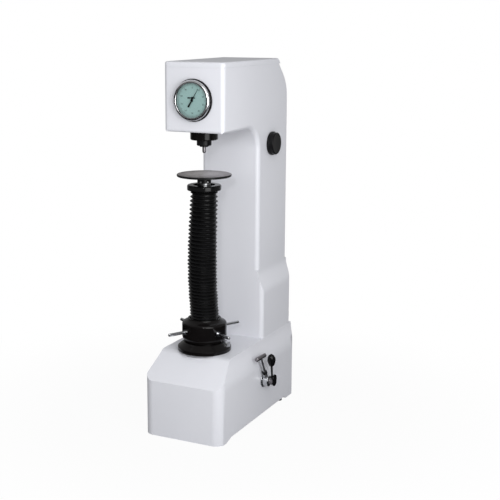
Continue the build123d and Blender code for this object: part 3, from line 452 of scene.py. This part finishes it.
world = bpy.data.worlds.new("surround")
bpy.context.scene.world = world
world.use_nodes = True
tree = world.node_tree
background = tree.nodes["Background"]
background.inputs["Color"].default_value = (1, 1, 1, 1)
rays = tree.nodes.new("ShaderNodeLightPath")
as_light, as_reflection, as_backdrop = 0.5, 0.35, 1.0
strength = None
for ray_kind, seen_level in (("Is Glossy Ray", as_reflection), ("Is Camera Ray", as_backdrop)):
    step = tree.nodes.new("ShaderNodeMath")
    step.operation = "MULTIPLY_ADD"
    tree.links.new(rays.outputs[ray_kind], step.inputs[0])
    step.inputs[1].default_value = seen_level - as_light
    step.inputs[2].default_value = as_light
    if strength:
        tree.links.new(strength, step.inputs[2])
    strength = step.outputs[0]
tree.links.new(strength, background.inputs["Strength"])
bpy.context.scene.view_settings.view_transform = "Standard"
print("lamps and surround set")

# %% [markdown]
# Black gloss and chrome show whatever stands around them. Dark cards on three sides and on the floor
# give them something dark to show. Only reflections see the cards.

# %% Dark cards for the reflections
def dark_card(name, place, turn, width, height, lean=90):
    start_fresh()
    bpy.ops.mesh.primitive_plane_add(
        size=1, location=place, rotation=(math.radians(lean), 0, math.radians(turn)),
    )
    card = bpy.context.object
    card.name = name
    card.scale = (width, height, 1)
    card.visible_camera = False
    card.visible_diffuse = False
    card.visible_shadow = False
    card.visible_transmission = False
    card.data.materials.append(card_finish.material)


card_finish = Finish("dark_card", Roughness=1.0, Specular_IOR_Level=0.0, Base_Color=(0.02, 0.02, 0.022))
dark_card("card_front", (0, -6, 1.6), 0, 14, 5)
dark_card("card_left", (-5, -2.5, 1.2), 90, 7, 2.4)
dark_card("card_right", (5, -2.5, 1.2), 90, 7, 2.4)
dark_card("card_floor", (0, 0, 0.001), 0, 5, 5, lean=0)
print("four dark cards")

# %% [markdown]
# The floor is a plain pale sheet that fades into the white surround. It belongs to the studio
# and not to the machine.

# %% Floor
start_fresh()
bpy.ops.mesh.primitive_plane_add(size=14, location=(0, 0, 0))
floor = bpy.context.object
floor.name = "floor"
floor_finish = Finish("floor_sheet", Roughness=0.9, Base_Color=(0.5, 0.5, 0.5), Specular_IOR_Level=0.0)
ray = floor_finish.add("ShaderNodeLightPath", output="Is Camera Ray")
fade = floor_finish.fade(floor_finish.how_far(), From_Min=0.3, From_Max=1.1, To_Min=0.95, To_Max=1.0)
glow = floor_finish.tree.nodes.new("ShaderNodeEmission")
glow.inputs["Strength"].default_value = 1.0
mixer = floor_finish.tree.nodes.new("ShaderNodeMixShader")
link = floor_finish.tree.links.new
link((ray * fade).socket, mixer.inputs[0])
link(floor_finish.shader.outputs[0], mixer.inputs[1])
link(glow.outputs[0], mixer.inputs[2])
link(mixer.outputs[0], floor_finish.tree.nodes["Material Output"].inputs["Surface"])
floor.data.materials.append(floor_finish.material)
print("floor laid")

# %% [markdown]
# ## Tools for the pieces
# Most visible pieces are round. On a lathe they are turned from a bar, and in Blender the same thing is done
# by drawing half of the section and spinning it. The outline is a list of (radius, height) points.
# A single corner is extruded from point to point, the wire is spun about the axis, and the seam is merged.

# %% The lathe
def round_edges(piece, width, sharper_than):
    """Round the edges that are sharper than an angle in degrees, by a width in mm."""
    apply_modifier(
        piece, "BEVEL", width=width * mm, segments=2,
        limit_method="ANGLE", angle_limit=math.radians(sharper_than),
    )


def turned(name, outline, at=(0, 0, 0), towards=(0, 0, 1), sides=72, ease=0.5, angle=32):
    """A closed outline of (radius, along) points in mm, spun about an axis through a point."""
    start_fresh()
    bpy.ops.mesh.primitive_plane_add(size=0.001, location=(0, 0, 0))
    piece = bpy.context.object
    piece.name = name
    bpy.ops.object.mode_set(mode="EDIT")
    bpy.ops.mesh.select_all(action="SELECT")
    bpy.ops.mesh.merge(type="CENTER")
    first = Vector((outline[0][0] * mm, 0, outline[0][1] * mm))
    bpy.ops.transform.translate(value=first)
    here = first
    closed = outline[0][0] > 0 or outline[-1][0] > 0
    for radius, along in outline[1:] + ([outline[0]] if closed else []):
        there = Vector((radius * mm, 0, along * mm))
        bpy.ops.mesh.extrude_region_move(TRANSFORM_OT_translate={"value": there - here})
        here = there
    bpy.ops.mesh.select_all(action="SELECT")
    bpy.ops.mesh.remove_doubles(threshold=0.000001)
    bpy.ops.mesh.spin(steps=sides, angle=2 * math.pi, center=(0, 0, 0), axis=(0, 0, 1))
    bpy.ops.mesh.select_all(action="SELECT")
    bpy.ops.mesh.remove_doubles(threshold=0.000002)
    bpy.ops.mesh.normals_make_consistent(inside=False)
    bpy.ops.object.mode_set(mode="OBJECT")
    if ease:
        round_edges(piece, ease, 28)
    piece.rotation_euler = Vector((0, 0, 1)).rotation_difference(Vector(towards)).to_euler()
    piece.location = at
    settle(piece)
    smooth(piece, angle)
    return piece


def finish_piece(piece, finish, body, slot, *nodes):
    """Give a piece its finish and the body that it moves with, and hide the CAD nodes that it stands for."""
    if not piece.data.materials:
        piece.data.materials.append(finishes[finish])
    if nodes:
        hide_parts(*nodes)
    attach(piece, body)
    print(piece.name, triangles(piece), "triangles")
    return piece


# %% [markdown]
# Cast and milled pieces keep the CAD shape. A copy of the CAD mesh is welded, its flat faces are joined into
# single ones, its sharp edges get a small round, and its shading is smoothed. Paint always gathers on an edge,
# so this small round is what makes a casting look painted and not cut from card.

# %% Softened copies of CAD pieces
def softened(node, ease, angle, dissolve=True):
    """A welded copy of a CAD node with eased edges."""
    source = frame["nodes"][node]
    piece = source.copy()
    piece.data = source.data.copy()
    for key in list(piece.keys()):
        del piece[key]
    piece.parent = None
    piece.matrix_world = Matrix.Identity(4)
    bpy.context.scene.collection.objects.link(piece)
    piece.name = node + "_finished"
    piece.data.materials.clear()
    hold(piece)
    bpy.ops.object.mode_set(mode="EDIT")
    bpy.ops.mesh.select_all(action="SELECT")
    bpy.ops.mesh.remove_doubles(threshold=0.00001)
    if dissolve:
        bpy.ops.mesh.dissolve_limited(angle_limit=math.radians(0.5))
    bpy.ops.object.mode_set(mode="OBJECT")
    if ease:
        round_edges(piece, ease, 40)
    smooth(piece, angle)
    return piece


def soften_and_finish(node, ease, finish, body):
    """Soften a CAD node, give it a finish and a body, and hide the node."""
    return finish_piece(softened(node, ease, 30), finish, body, finish, node)


print("lathe and softening ready")

# %% [markdown]
# ## The casting and its covers
# The lower edges of the head are rounded more than the rest, as a moulder's pattern makes them.
# The bevel tool rounds whatever edges are selected, so they are picked by their sharpness, height and place.

# %% Rounder edges along one level
head_bottom = 839
head_side, head_front, throat_front = 76, -48, 99
level_slack = 0.2


def round_edges_at(piece, height, width, segments, keep):
    """Round the sharp outer edges that lie at one height, where keep says so."""
    hold(piece)
    bpy.ops.object.mode_set(mode="EDIT")
    bpy.ops.mesh.select_mode(type="EDGE")
    bpy.ops.mesh.select_all(action="DESELECT")
    bpy.ops.mesh.edges_select_sharp(sharpness=math.radians(40))
    bpy.ops.object.mode_set(mode="OBJECT")
    chosen = 0
    points = piece.data.vertices
    for edge in piece.data.edges:
        ends = [points[i].co for i in edge.vertices]
        level = all(abs(end.z / mm - height) < level_slack for end in ends)
        edge.select = bool(edge.select and level and all(keep(end) for end in ends))
        chosen += edge.select
    for vertex in points:
        vertex.select = False
    for face in piece.data.polygons:
        face.select = False
    bpy.ops.object.mode_set(mode="EDIT")
    bpy.ops.mesh.bevel(offset=width * mm, segments=segments, profile=0.5, clamp_overlap=True)
    bpy.ops.mesh.select_mode(type="VERT")
    bpy.ops.object.mode_set(mode="OBJECT")
    print(piece.name, "rounded", chosen, "edges")


def on_head_outline(point):
    """True on the head's outer walls, in front of the throat."""
    side = abs(point.x - axis_x) / mm
    back = (point.y - axis_y) / mm
    return side > head_side and back < throat_front or back < head_front


# %% [markdown]
# The C-shaped frame is one hollow iron casting. Its top is closed by a low cover with its own rounded edges,
# and the back of the column by a sheet cover. They share the grey enamel.

# %% Casting and covers
casting = softened("frame_casting", 0, 32)
round_edges_at(casting, head_bottom, 7, 5, on_head_outline)
round_edges(casting, 1.2, 40)
smooth(casting, 32)
finish_piece(casting, "grey_paint", "frame", "grey_paint", "frame_casting")
soften_and_finish("top_cover", 1.0, "grey_paint", "frame")
soften_and_finish("rear_cover", 0.5, "grey_paint", "frame")

# %% [markdown]
# ## The handwheel
# The hub is a heavy black drum with a tight shoulder and a collar. Four chrome bars stand out from it.
# The drum is turned; each curve of its outline is worked out from its two ends and their directions.

# %% Handwheel hub
def curve_points(start, start_pull, end, end_pull, count):
    """Points of a smooth curve between two outline points, with a pull at each end."""
    points = []
    for step in range(count + 1):
        t = step / count
        a, b, c, d = (1 - t) ** 3, 3 * t * (1 - t) ** 2, 3 * t * t * (1 - t), t ** 3
        points.append(tuple(
            a * start[i] + b * (start[i] + start_pull[i]) + c * (end[i] - end_pull[i]) + d * end[i]
            for i in (0, 1)
        ))
    return points


hub_outline = (
    [(52, 254), (57.5, 254)]
    + curve_points((57.5, 254), (1.5, 4), (62.5, 268), (0, 5), 6)[1:]
    + curve_points((62.5, 300), (0, 4), (57.5, 308.5), (-4, 2), 6)[:-1]
    + curve_points((57.5, 308.5), (-4, 2), (46, 318), (-0.5, 4), 8)
    + [(41.5, 318), (41.5, 300), (30, 300), (30, 268), (52, 268)]
)
hub = turned("handwheel_drum", hub_outline, at=spot(0, 0, 0), sides=96, ease=0.4)
finish_piece(hub, "black_enamel", "handwheel", "black_enamel", "handwheel_hub")

# %% [markdown]
# The four bars are alike, so one is turned and the others are copies, each with its own mesh.
# A bar's end is domed. The ferrules where the bars leave the drum keep their CAD shape.

# %% Copies and joins
def own_copy(piece):
    """A copy of a piece with a mesh of its own."""
    copy = piece.copy()
    copy.data = piece.data.copy()
    bpy.context.scene.collection.objects.link(copy)
    return copy


def join_all(pieces, name):
    """Join several pieces into one mesh."""
    hold(pieces[0])
    for piece in pieces[1:]:
        piece.select_set(True)
    bpy.ops.object.join()
    joined = bpy.context.object
    joined.name = name
    return joined


# %% [markdown]
# A bar is turned upright, then each copy is laid outwards at its angle and lifted to the height of the holes.

# %% Handwheel bars
bar_angles = (-28, 62, 152, 242)
bar_height = 285
bar_outline = [(0, 30), (4.5, 30), (4.5, 116.5)] + curve_points((4.5, 116.5), (0, 1.6), (0, 120), (-2.4, 0), 6)[1:]
one_bar = turned("handwheel_bars", bar_outline, sides=40, ease=0.3)
bars = []
for angle in bar_angles:
    outward = Vector((math.cos(math.radians(angle)), math.sin(math.radians(angle)), 0))
    bar = own_copy(one_bar)
    bar.rotation_euler = Vector((0, 0, 1)).rotation_difference(outward).to_euler()
    bar.location = spot(0, 0, bar_height)
    settle(bar)
    bars.append(bar)
bpy.data.objects.remove(one_bar)
finish_piece(join_all(bars, "handwheel_bars"), "chrome", "handwheel", "chrome", "handwheel_rods")

# %% [markdown]
# ## The seat
# The screw's seat is a black flanged boss bolted to the base. A bright block keyed into its rim carries a hole.

# %% Screw seat
soften_and_finish("screw_seat", 0.8, "black_enamel", "frame")
soften_and_finish("seat_key_block", 0.6, "bright_steel", "frame")

# %% [markdown]
# ## The bellows
# A pleated rubber sleeve keeps grit off the screw. Its folds are wide open near the table and packed together
# near the handwheel, because its own weight pulls the lower ones shut. It also leans a little, as old rubber does.
# The outline is a zigzag with small flats at tips and valleys, so each fold has a lip that catches the light.
# The sleeve's foot stays with the frame and its top goes with the screw. First comes a helper that works out how far
# up the sleeve each point lies.

# %% How far up a piece each point lies
def part_way(height, low_end, high_end):
    """How far a height is from one end to the other, from 0 to 1."""
    return min(max((height - low_end) / (high_end - low_end), 0), 1)


def stretch(piece, below, above, low_end, high_end):
    """Bake a piece's place into its mesh and work out how far up, between two heights, each of its points lies."""
    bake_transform(piece)
    shares = [part_way(vertex.co.z / mm, low_end, high_end) for vertex in piece.data.vertices]
    print(piece.name, triangles(piece), "triangles, from", below, "to", above)


# %% [markdown]
# The folds get a little wider from the bottom to the top. Each is six points: a valley, two points that keep
# the valley round, the tip, and one point each side of the tip.

# %% Outline of the bellows
fold_count = 37
bellows_bottom, bellows_top = 300.3, 678.0
edges = [0.0]
for fold in range(fold_count):
    edges.append(edges[-1] + 1 + 0.5 * fold / (fold_count - 1))
edges = [bellows_bottom + (bellows_top - bellows_bottom) * edge / edges[-1] for edge in edges]
sleeve = []
for fold in range(fold_count):
    base, pitch = edges[fold], edges[fold + 1] - edges[fold]
    share = fold / (fold_count - 1)
    tip = 39.8 + 1.2 * math.sin(math.pi * share) - 2.0 * share ** 3 + 0.35 * math.sin(5.0 * fold)
    valley = tip - 4.6 - 2.2 * share
    sleeve += [
        (valley, base + 0.02 * pitch), (valley + 0.8, base + 0.12 * pitch), (tip - 0.7, base + 0.42 * pitch),
        (tip, base + 0.5 * pitch), (tip - 0.5, base + 0.58 * pitch), (valley + 0.8, base + 0.9 * pitch),
    ]
sleeve = (
    [(34.0, bellows_bottom), (39.5, bellows_bottom)] + sleeve[1:]
    + [(38.5, bellows_top), (33.5, bellows_top), (33.0, bellows_top - 2), (33.0, bellows_bottom + 2)]
)
print(fold_count, "folds, from", round(edges[1] - edges[0], 1), "to", round(edges[-1] - edges[-2], 1), "mm")

# %% [markdown]
# The turned sleeve is straight. Each of its points is then moved a little to one side and tilted.
# The lowest tenth stays straight, because it slides inside the drum when the table comes down.

# %% Bellows
bellows = turned("bellows_sleeve", sleeve, at=spot(0, 0, 0), sides=80, ease=0, angle=50)
lean_x, lean_y = 0.891, 0.454
sway_most, tilt_most = 6.5 * mm, 0.045
straight_part = 0.09
for vertex in bellows.data.vertices:
    share = part_way(vertex.co.z / mm, bellows_bottom, bellows_top)
    free = part_way(share, straight_part, 1)
    sway = sway_most * math.sin(math.pi * free ** 0.8) ** 1.2
    tilt = math.sin(math.pi * share) * tilt_most
    across = (vertex.co.x - axis_x) * lean_x + (vertex.co.y - axis_y) * lean_y
    vertex.co.x -= lean_x * sway * 0.9
    vertex.co.y -= lean_y * sway * 0.9
    vertex.co.z -= across * tilt
bellows.data.materials.append(finishes["black_rubber"])
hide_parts("bellows")
stretch(bellows, "frame", "elevating_screw", bellows_bottom, bellows_top)

# %% [markdown]
# The ring under the table holds the sleeve's top. Its edges are soft, as moulded plastic has them.

# %% Bellows ring
ring = turned(
    "bellows_top_ring",
    [(30, 678), (44.5, 678)] + curve_points((44.5, 678), (1.6, 0), (46.8, 681), (0, 1.5), 5)[1:]
    + [(46.8, 689.5)] + curve_points((46.8, 689.5), (0, 1.8), (43.5, 693), (-1.8, 0), 5)[1:] + [(30, 693)],
    at=spot(0, 0, 0), sides=96, ease=0.3,
)
finish_piece(ring, "black_plastic", "elevating_screw", "black_plastic", "bellows_ring")

# %% [markdown]
# The table is a thick steel disc with a coned hub that two screws clamp to the screw.
# Its top is faced bright, and its rim and underside are blackened.

# %% Test table
table_outline = [
    (0, 660), (12, 660), (12, 697), (19, 697), (19, 708), (25, 714),
    (73.6, 716), (75, 717.4), (75, 720.8), (73.8, 722), (0, 722),
]
table = turned("table_disc", table_outline, at=spot(0, 0, 0), sides=128, ease=0.25)
underside, shank_radius, rim_radius = 715.5, 12.5, 73.7
table.data.materials.append(finishes["table_steel"])
table.data.materials.append(finishes["black_steel"])
for face in table.data.polygons:
    radius = math.hypot(face.center.x - axis_x, face.center.y - axis_y) / mm
    if face.center.z < underside * mm and radius > shank_radius or radius > rim_radius:
        face.material_index = 1
finish_piece(table, "table_steel", "elevating_screw", "table_steel", "test_table")

# %% [markdown]
# ## The head: flange, spindle and indenter
# The spindle comes down through a black flange. Its nose holds the indenter, a hard tip on a ground shank.

# %% Flange, spindle nose and indenter
flange = turned(
    "spindle_flange_ring",
    [(13, 815.5), (35.5, 815.5), (37.5, 817.5), (37.5, 839), (28, 839), (28, 848), (13, 848)],
    at=spot(0, 0, 0), sides=96, ease=0.6,
)
finish_piece(flange, "black_enamel", "frame", "black_enamel", "spindle_flange")
spindle = turned(
    "spindle_and_nose",
    [(4, 796.5), (12, 796.5), (12, 799.5), (18.2, 799.5), (20, 801.5), (20, 814.4),
     (10, 814.4), (10, 904.8), (7, 907.8), (0, 907.8), (0, 811.4), (4, 811.4)],
    at=spot(0, 0, 0), sides=80, ease=0.5,
)
finish_piece(spindle, "black_steel", "spindle", "black_steel", "spindle")
indenter = turned(
    "indenter_point",
    [(0, 811.4), (4, 811.4), (4, 796.5), (5, 796.5), (5, 783.5)]
    + curve_points((5, 783.5), (0, -2.4), (0, 778.5), (-2.6, 0), 8)[1:],
    at=spot(0, 0, 0), sides=48, ease=0.15,
)
finish_piece(indenter, "tool_steel", "spindle", "bright_steel", "indenter")

# %% [markdown]
# Inside the head a coil spring presses the spindle down. It is squeezed when the spindle rises,
# so its foot follows the spindle and its top stays with the frame.

# %% Initial load spring
spring = softened("initial_load_spring", 0, 40, dissolve=False)
spring.data.materials.append(finishes["bright_steel"])
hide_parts("initial_load_spring")
spring_low, spring_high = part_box("initial_load_spring")
stretch(spring, "spindle", "frame", spring_low.z / mm, spring_high.z / mm)

# %% [markdown]
# ## The dial indicator
# The bezel is a chromed ring that can be turned to set zero. A flat cone would reflect one thing
# and look like paper, so its section is a quarter-round, which picks up several things as thin bands.
# The outer skirt and the bore round the glass are given black enamel: a painted shadow and dark reflection on the
# skirt, and a painted dark reflection in the bore.

# %% Bezel
dial_low, dial_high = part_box("bezel")
dial_at = Vector(((dial_low.x + dial_high.x) / 2, axis_y, (dial_low.z + dial_high.z) / 2))
forward = (0, -1, 0)
bezel = turned(
    "bezel_ring",
    [(51.82, 61.6), (55.9, 61.6), (56.5, 62.2), (56.5, 64.4), (55.9, 65.0), (54.6, 65.2)]
    + curve_points((54.6, 65.2), (0.2, 7.5), (47.6, 77), (-4.2, 0.2), 12)[1:]
    + [(46.4, 76.8), (45.5, 75.8), (45.5, 74.0),
     (47.2, 74.0), (47.2, 67.7), (49.4, 67.7), (49.4, 66.4), (51.82, 66.4)],
    at=dial_at, towards=forward, sides=180, ease=0.15,
)
bezel.data.materials.append(finishes["bezel_chrome"])
bezel.data.materials.append(finishes["black_enamel"])
# Painted shadow and dark reflection: the skirt and the bore get black enamel in place of chrome.
painted_shadow_from, painted_reflection_within = 53.7, 47.3
for face in bezel.data.polygons:
    radius = math.hypot(face.center.x - dial_at.x, face.center.z - dial_at.z) / mm
    if radius > painted_shadow_from or radius < painted_reflection_within and abs(face.normal.y) < 0.5:
        face.material_index = 1
finish_piece(bezel, "chrome", "bezel", "chrome", "bezel")

# %% [markdown]
# The face is printed with a hundred divisions. One line of each length is modelled, and the rest are copies
# turned about the centre. Every fifth line is long, and every tenth carries a number.

# %% Dial face and its lines
finish_piece(softened("dial_face", 0.1, 30), "dial_green", "bezel", "dial_green", "dial_face")
ink_height = 0.04
marks_radius, numbers_radius = 43.5, 33.5


def dial_mark(name, length, width):
    """A thin printed line that points at the dial's centre."""
    start_fresh()
    bpy.ops.mesh.primitive_plane_add(size=1, location=(0, 0, 0))
    mark = bpy.context.object
    mark.name = name
    mark.scale = (width * mm, length * mm, 1)
    mark.location = (0, (marks_radius - length / 2) * mm, 0)
    settle(mark)
    bpy.ops.object.mode_set(mode="EDIT")
    bpy.ops.mesh.select_all(action="SELECT")
    bpy.ops.mesh.inset(thickness=0.02 * mm)
    bpy.ops.mesh.select_all(action="SELECT")
    bpy.ops.mesh.extrude_region_move(TRANSFORM_OT_translate={"value": (0, 0, ink_height * mm)})
    bpy.ops.object.mode_set(mode="OBJECT")
    return mark


long_mark = dial_mark("mark_long", 5.5, 0.45)
short_mark = dial_mark("mark_short", 3.0, 0.28)
marks = []
for division in range(100):
    mark = own_copy(long_mark if division % 5 == 0 else short_mark)
    mark.rotation_euler = (0, 0, -math.radians(3.6 * division))
    settle(mark)
    marks.append(mark)
for pattern in (long_mark, short_mark):
    bpy.data.objects.remove(pattern)
print(len(marks), "lines printed")

# %% [markdown]
# A number starts as a text object. It is made a mesh first, and then set in its place,
# so that its place ends up in the mesh as it does for every other piece.

# %% Dial numbers
for number in range(10):
    start_fresh()
    bpy.ops.object.text_add(location=(0, 0, 0))
    figure = bpy.context.object
    figure.data.body = str(number * 10)
    figure.data.size = 6.4 * mm
    figure.data.align_x = "CENTER"
    figure.data.align_y = "CENTER"
    figure.data.resolution_u = 3
    hold(figure)
    bpy.ops.object.convert(target="MESH")
    figure = bpy.context.object
    turn = math.radians(36 * number)
    figure.location = (
        numbers_radius * mm * math.sin(turn), numbers_radius * mm * math.cos(turn), ink_height * mm,
    )
    settle(figure)
    marks.append(figure)
dial_print_piece = join_all(marks, "dial_print")
dial_print_piece.rotation_euler = (math.radians(90), 0, 0)
dial_print_piece.location = (dial_at.x, dial_at.y - 67.72 * mm, dial_at.z)
settle(dial_print_piece)
finish_piece(dial_print_piece, "dial_ink", "bezel", "dial_green")

# %% [markdown]
# The glass is a flat disc with an eased rim. The pointers keep their CAD shape, with eased edges.

# %% Glass and pointers
glass_outline = [(0, 72.0), (47.2, 72.0), (47.2, 74.0), (0, 74.0)]
glass = turned("watch_glass", glass_outline, at=dial_at, towards=forward, sides=96, ease=0.2)
finish_piece(glass, "clear_glass", "bezel", "clear_glass", "dial_glass")
for pointer in ("pointer", "small_pointer"):
    soften_and_finish(pointer, 0.12, "black_plastic", pointer)

# %% [markdown]
# ## The load lever
# On the right of the base a shaft carries a chrome hub, with a leaning rod that ends in a cross grip
# and an upright lever that ends in an egg-shaped knob. They turn together. A black cap closes the shaft.

# %% Load shaft, hub, rod and grip
shaft_at = spot(0, 137, 110)
to_right = (1, 0, 0)
hub_section = [(7, 124.6), (14.8, 124.6), (16, 125.8), (16, 139.4), (14.8, 140.6), (7, 140.6)]
load_hub = turned("load_hub_drum", hub_section, at=shaft_at, towards=to_right, sides=64, ease=0.4)
finish_piece(load_hub, "chrome", "load_handle", "chrome", "load_hub")
flange_section = [
    (7.06, 84), (10, 84), (10, 120), (18.8, 120), (20, 121.2), (20, 122.8), (18.8, 124), (7.06, 124),
]
bush = turned("load_shaft_flange", flange_section, at=shaft_at, towards=to_right, sides=72, ease=0.3)
finish_piece(bush, "chrome", "frame", "chrome", "load_shaft_bush")
soften_and_finish("end_cap", 0.5, "black_plastic", "load_handle")

# %% [markdown]
# A rod and what it carries share one direction, so that direction is worked out once from the rod's lean.

# %% Leaning rod and grip
def leaning(degrees):
    """The upward direction of a rod that leans towards the front."""
    return Vector((0, -math.sin(math.radians(degrees)), math.cos(math.radians(degrees))))


rod_way = leaning(28.6)
rod_length = 94
handle_at = spot(132, 137, 110)
rod_outline = [
    (0, 12), (4, 12), (4, 16), (6, 16), (6.5, 16.5), (6.5, 28.4), (5.9, 29), (4, 29), (4, rod_length), (0, rod_length),
]
rod = turned("handle_bar", rod_outline, at=handle_at, towards=rod_way, sides=48, ease=0.25)
finish_piece(rod, "aluminium", "load_handle", "chrome", "handle_rod")
soften_and_finish("handle_nut", 0.5, "black_steel", "load_handle")
rise = math.radians(-1.8)
grip_outline = [(0, -29), (4.6, -29), (6, -27.6), (6, 27.6), (4.6, 29), (0, 29)]
grip = turned(
    "cross_grip", grip_outline, at=handle_at + rod_way * rod_length * mm,
    towards=(0, math.cos(rise), math.sin(rise)), sides=56, ease=0.3,
)
finish_piece(grip, "tool_steel", "load_handle", "table_steel", "handle_grip")

# %% [markdown]
# The lever is a thin rod on a grey boss. Its knob is moulded plastic, turned from a smooth egg-shaped outline.

# %% Ball lever and knob
lever_at = spot(149, 137, 110)
lever_way = leaning(6)
lever_length = 66.5
lever_outline = [(0, 8.5), (3, 8.5), (3, lever_length), (0, lever_length)]
lever = turned("lever_rod", lever_outline, at=lever_at, towards=lever_way, sides=32, ease=0.2)
boss_outline = [(7, 140.7), (9, 140.7), (9.5, 141.2), (9.5, 153.4), (9, 153.9), (7, 153.9)]
boss = turned("lever_boss", boss_outline, at=shaft_at, towards=to_right, sides=56, ease=0.2)
lever.data.materials.append(finishes["black_steel"])
boss.data.materials.append(finishes["tool_steel"])
lever = join_all([lever, boss], "ball_lever_finished")
finish_piece(lever, "black_steel", "load_handle", "black_steel", "ball_lever")
egg = (
    [(0, 0), (3, 0), (3, -18), (5.2, -17.6)]
    + curve_points((5.2, -17.6), (3.2, 1.5), (12, 1.5), (0.4, 7), 8)[1:]
    + curve_points((12, 1.5), (0, 7), (0, 19), (-7.5, 0), 12)[1:]
)
knob_at = lever_at + lever_way * lever_length * mm
knob = turned("egg_knob", egg, at=knob_at, towards=lever_way, sides=64, ease=0, angle=40)
finish_piece(knob, "black_plastic", "load_handle", "black_plastic", "ball_knob")

# %% [markdown]
# ## The load selector
# A black knob on the side of the column chooses the test load. It has a wide flange, a narrower grip
# and a slightly dished face.

# %% Selector knob
selector_at = spot(0, 243, 786)
selector = turned(
    "selector_dial",
    [(0, 90.8), (32.9, 90.8), (33.5, 91.4), (33.5, 97.8), (32.7, 98.6), (31.9, 98.8), (31.3, 106.4)]
    + curve_points((31.3, 106.4), (-0.2, 1.4), (28.6, 108.8), (-1.5, 0), 6)[1:]
    + [(26.5, 108.8), (25.4, 108.2), (0, 107.9)],
    at=selector_at, towards=to_right, sides=96, ease=0.2,
)
finish_piece(selector, "black_aluminium", "load_selector", "black_aluminium", "selector_knob")

# %% [markdown]
# ## What the covers hide
# The beam, the weights, the cam and the dashpot keep their CAD meshes. Each still gets a real finish,
# because the covers can be taken off and the part may be seen from below.

# %% Finishes for the pieces that keep their CAD mesh
record_slots = {entry["node"]: entry["material_slot"] for entry in frame["record"]["subparts"]}
kept = 0
for node, item in frame["nodes"].items():
    if item.hide_render:
        continue
    item.data.materials.clear()
    item.data.materials.append(finishes[record_slots[node]])
    kept += 1
print(kept, "CAD pieces keep their own mesh")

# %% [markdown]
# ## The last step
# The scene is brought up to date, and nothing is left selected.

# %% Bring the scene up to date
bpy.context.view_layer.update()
start_fresh()
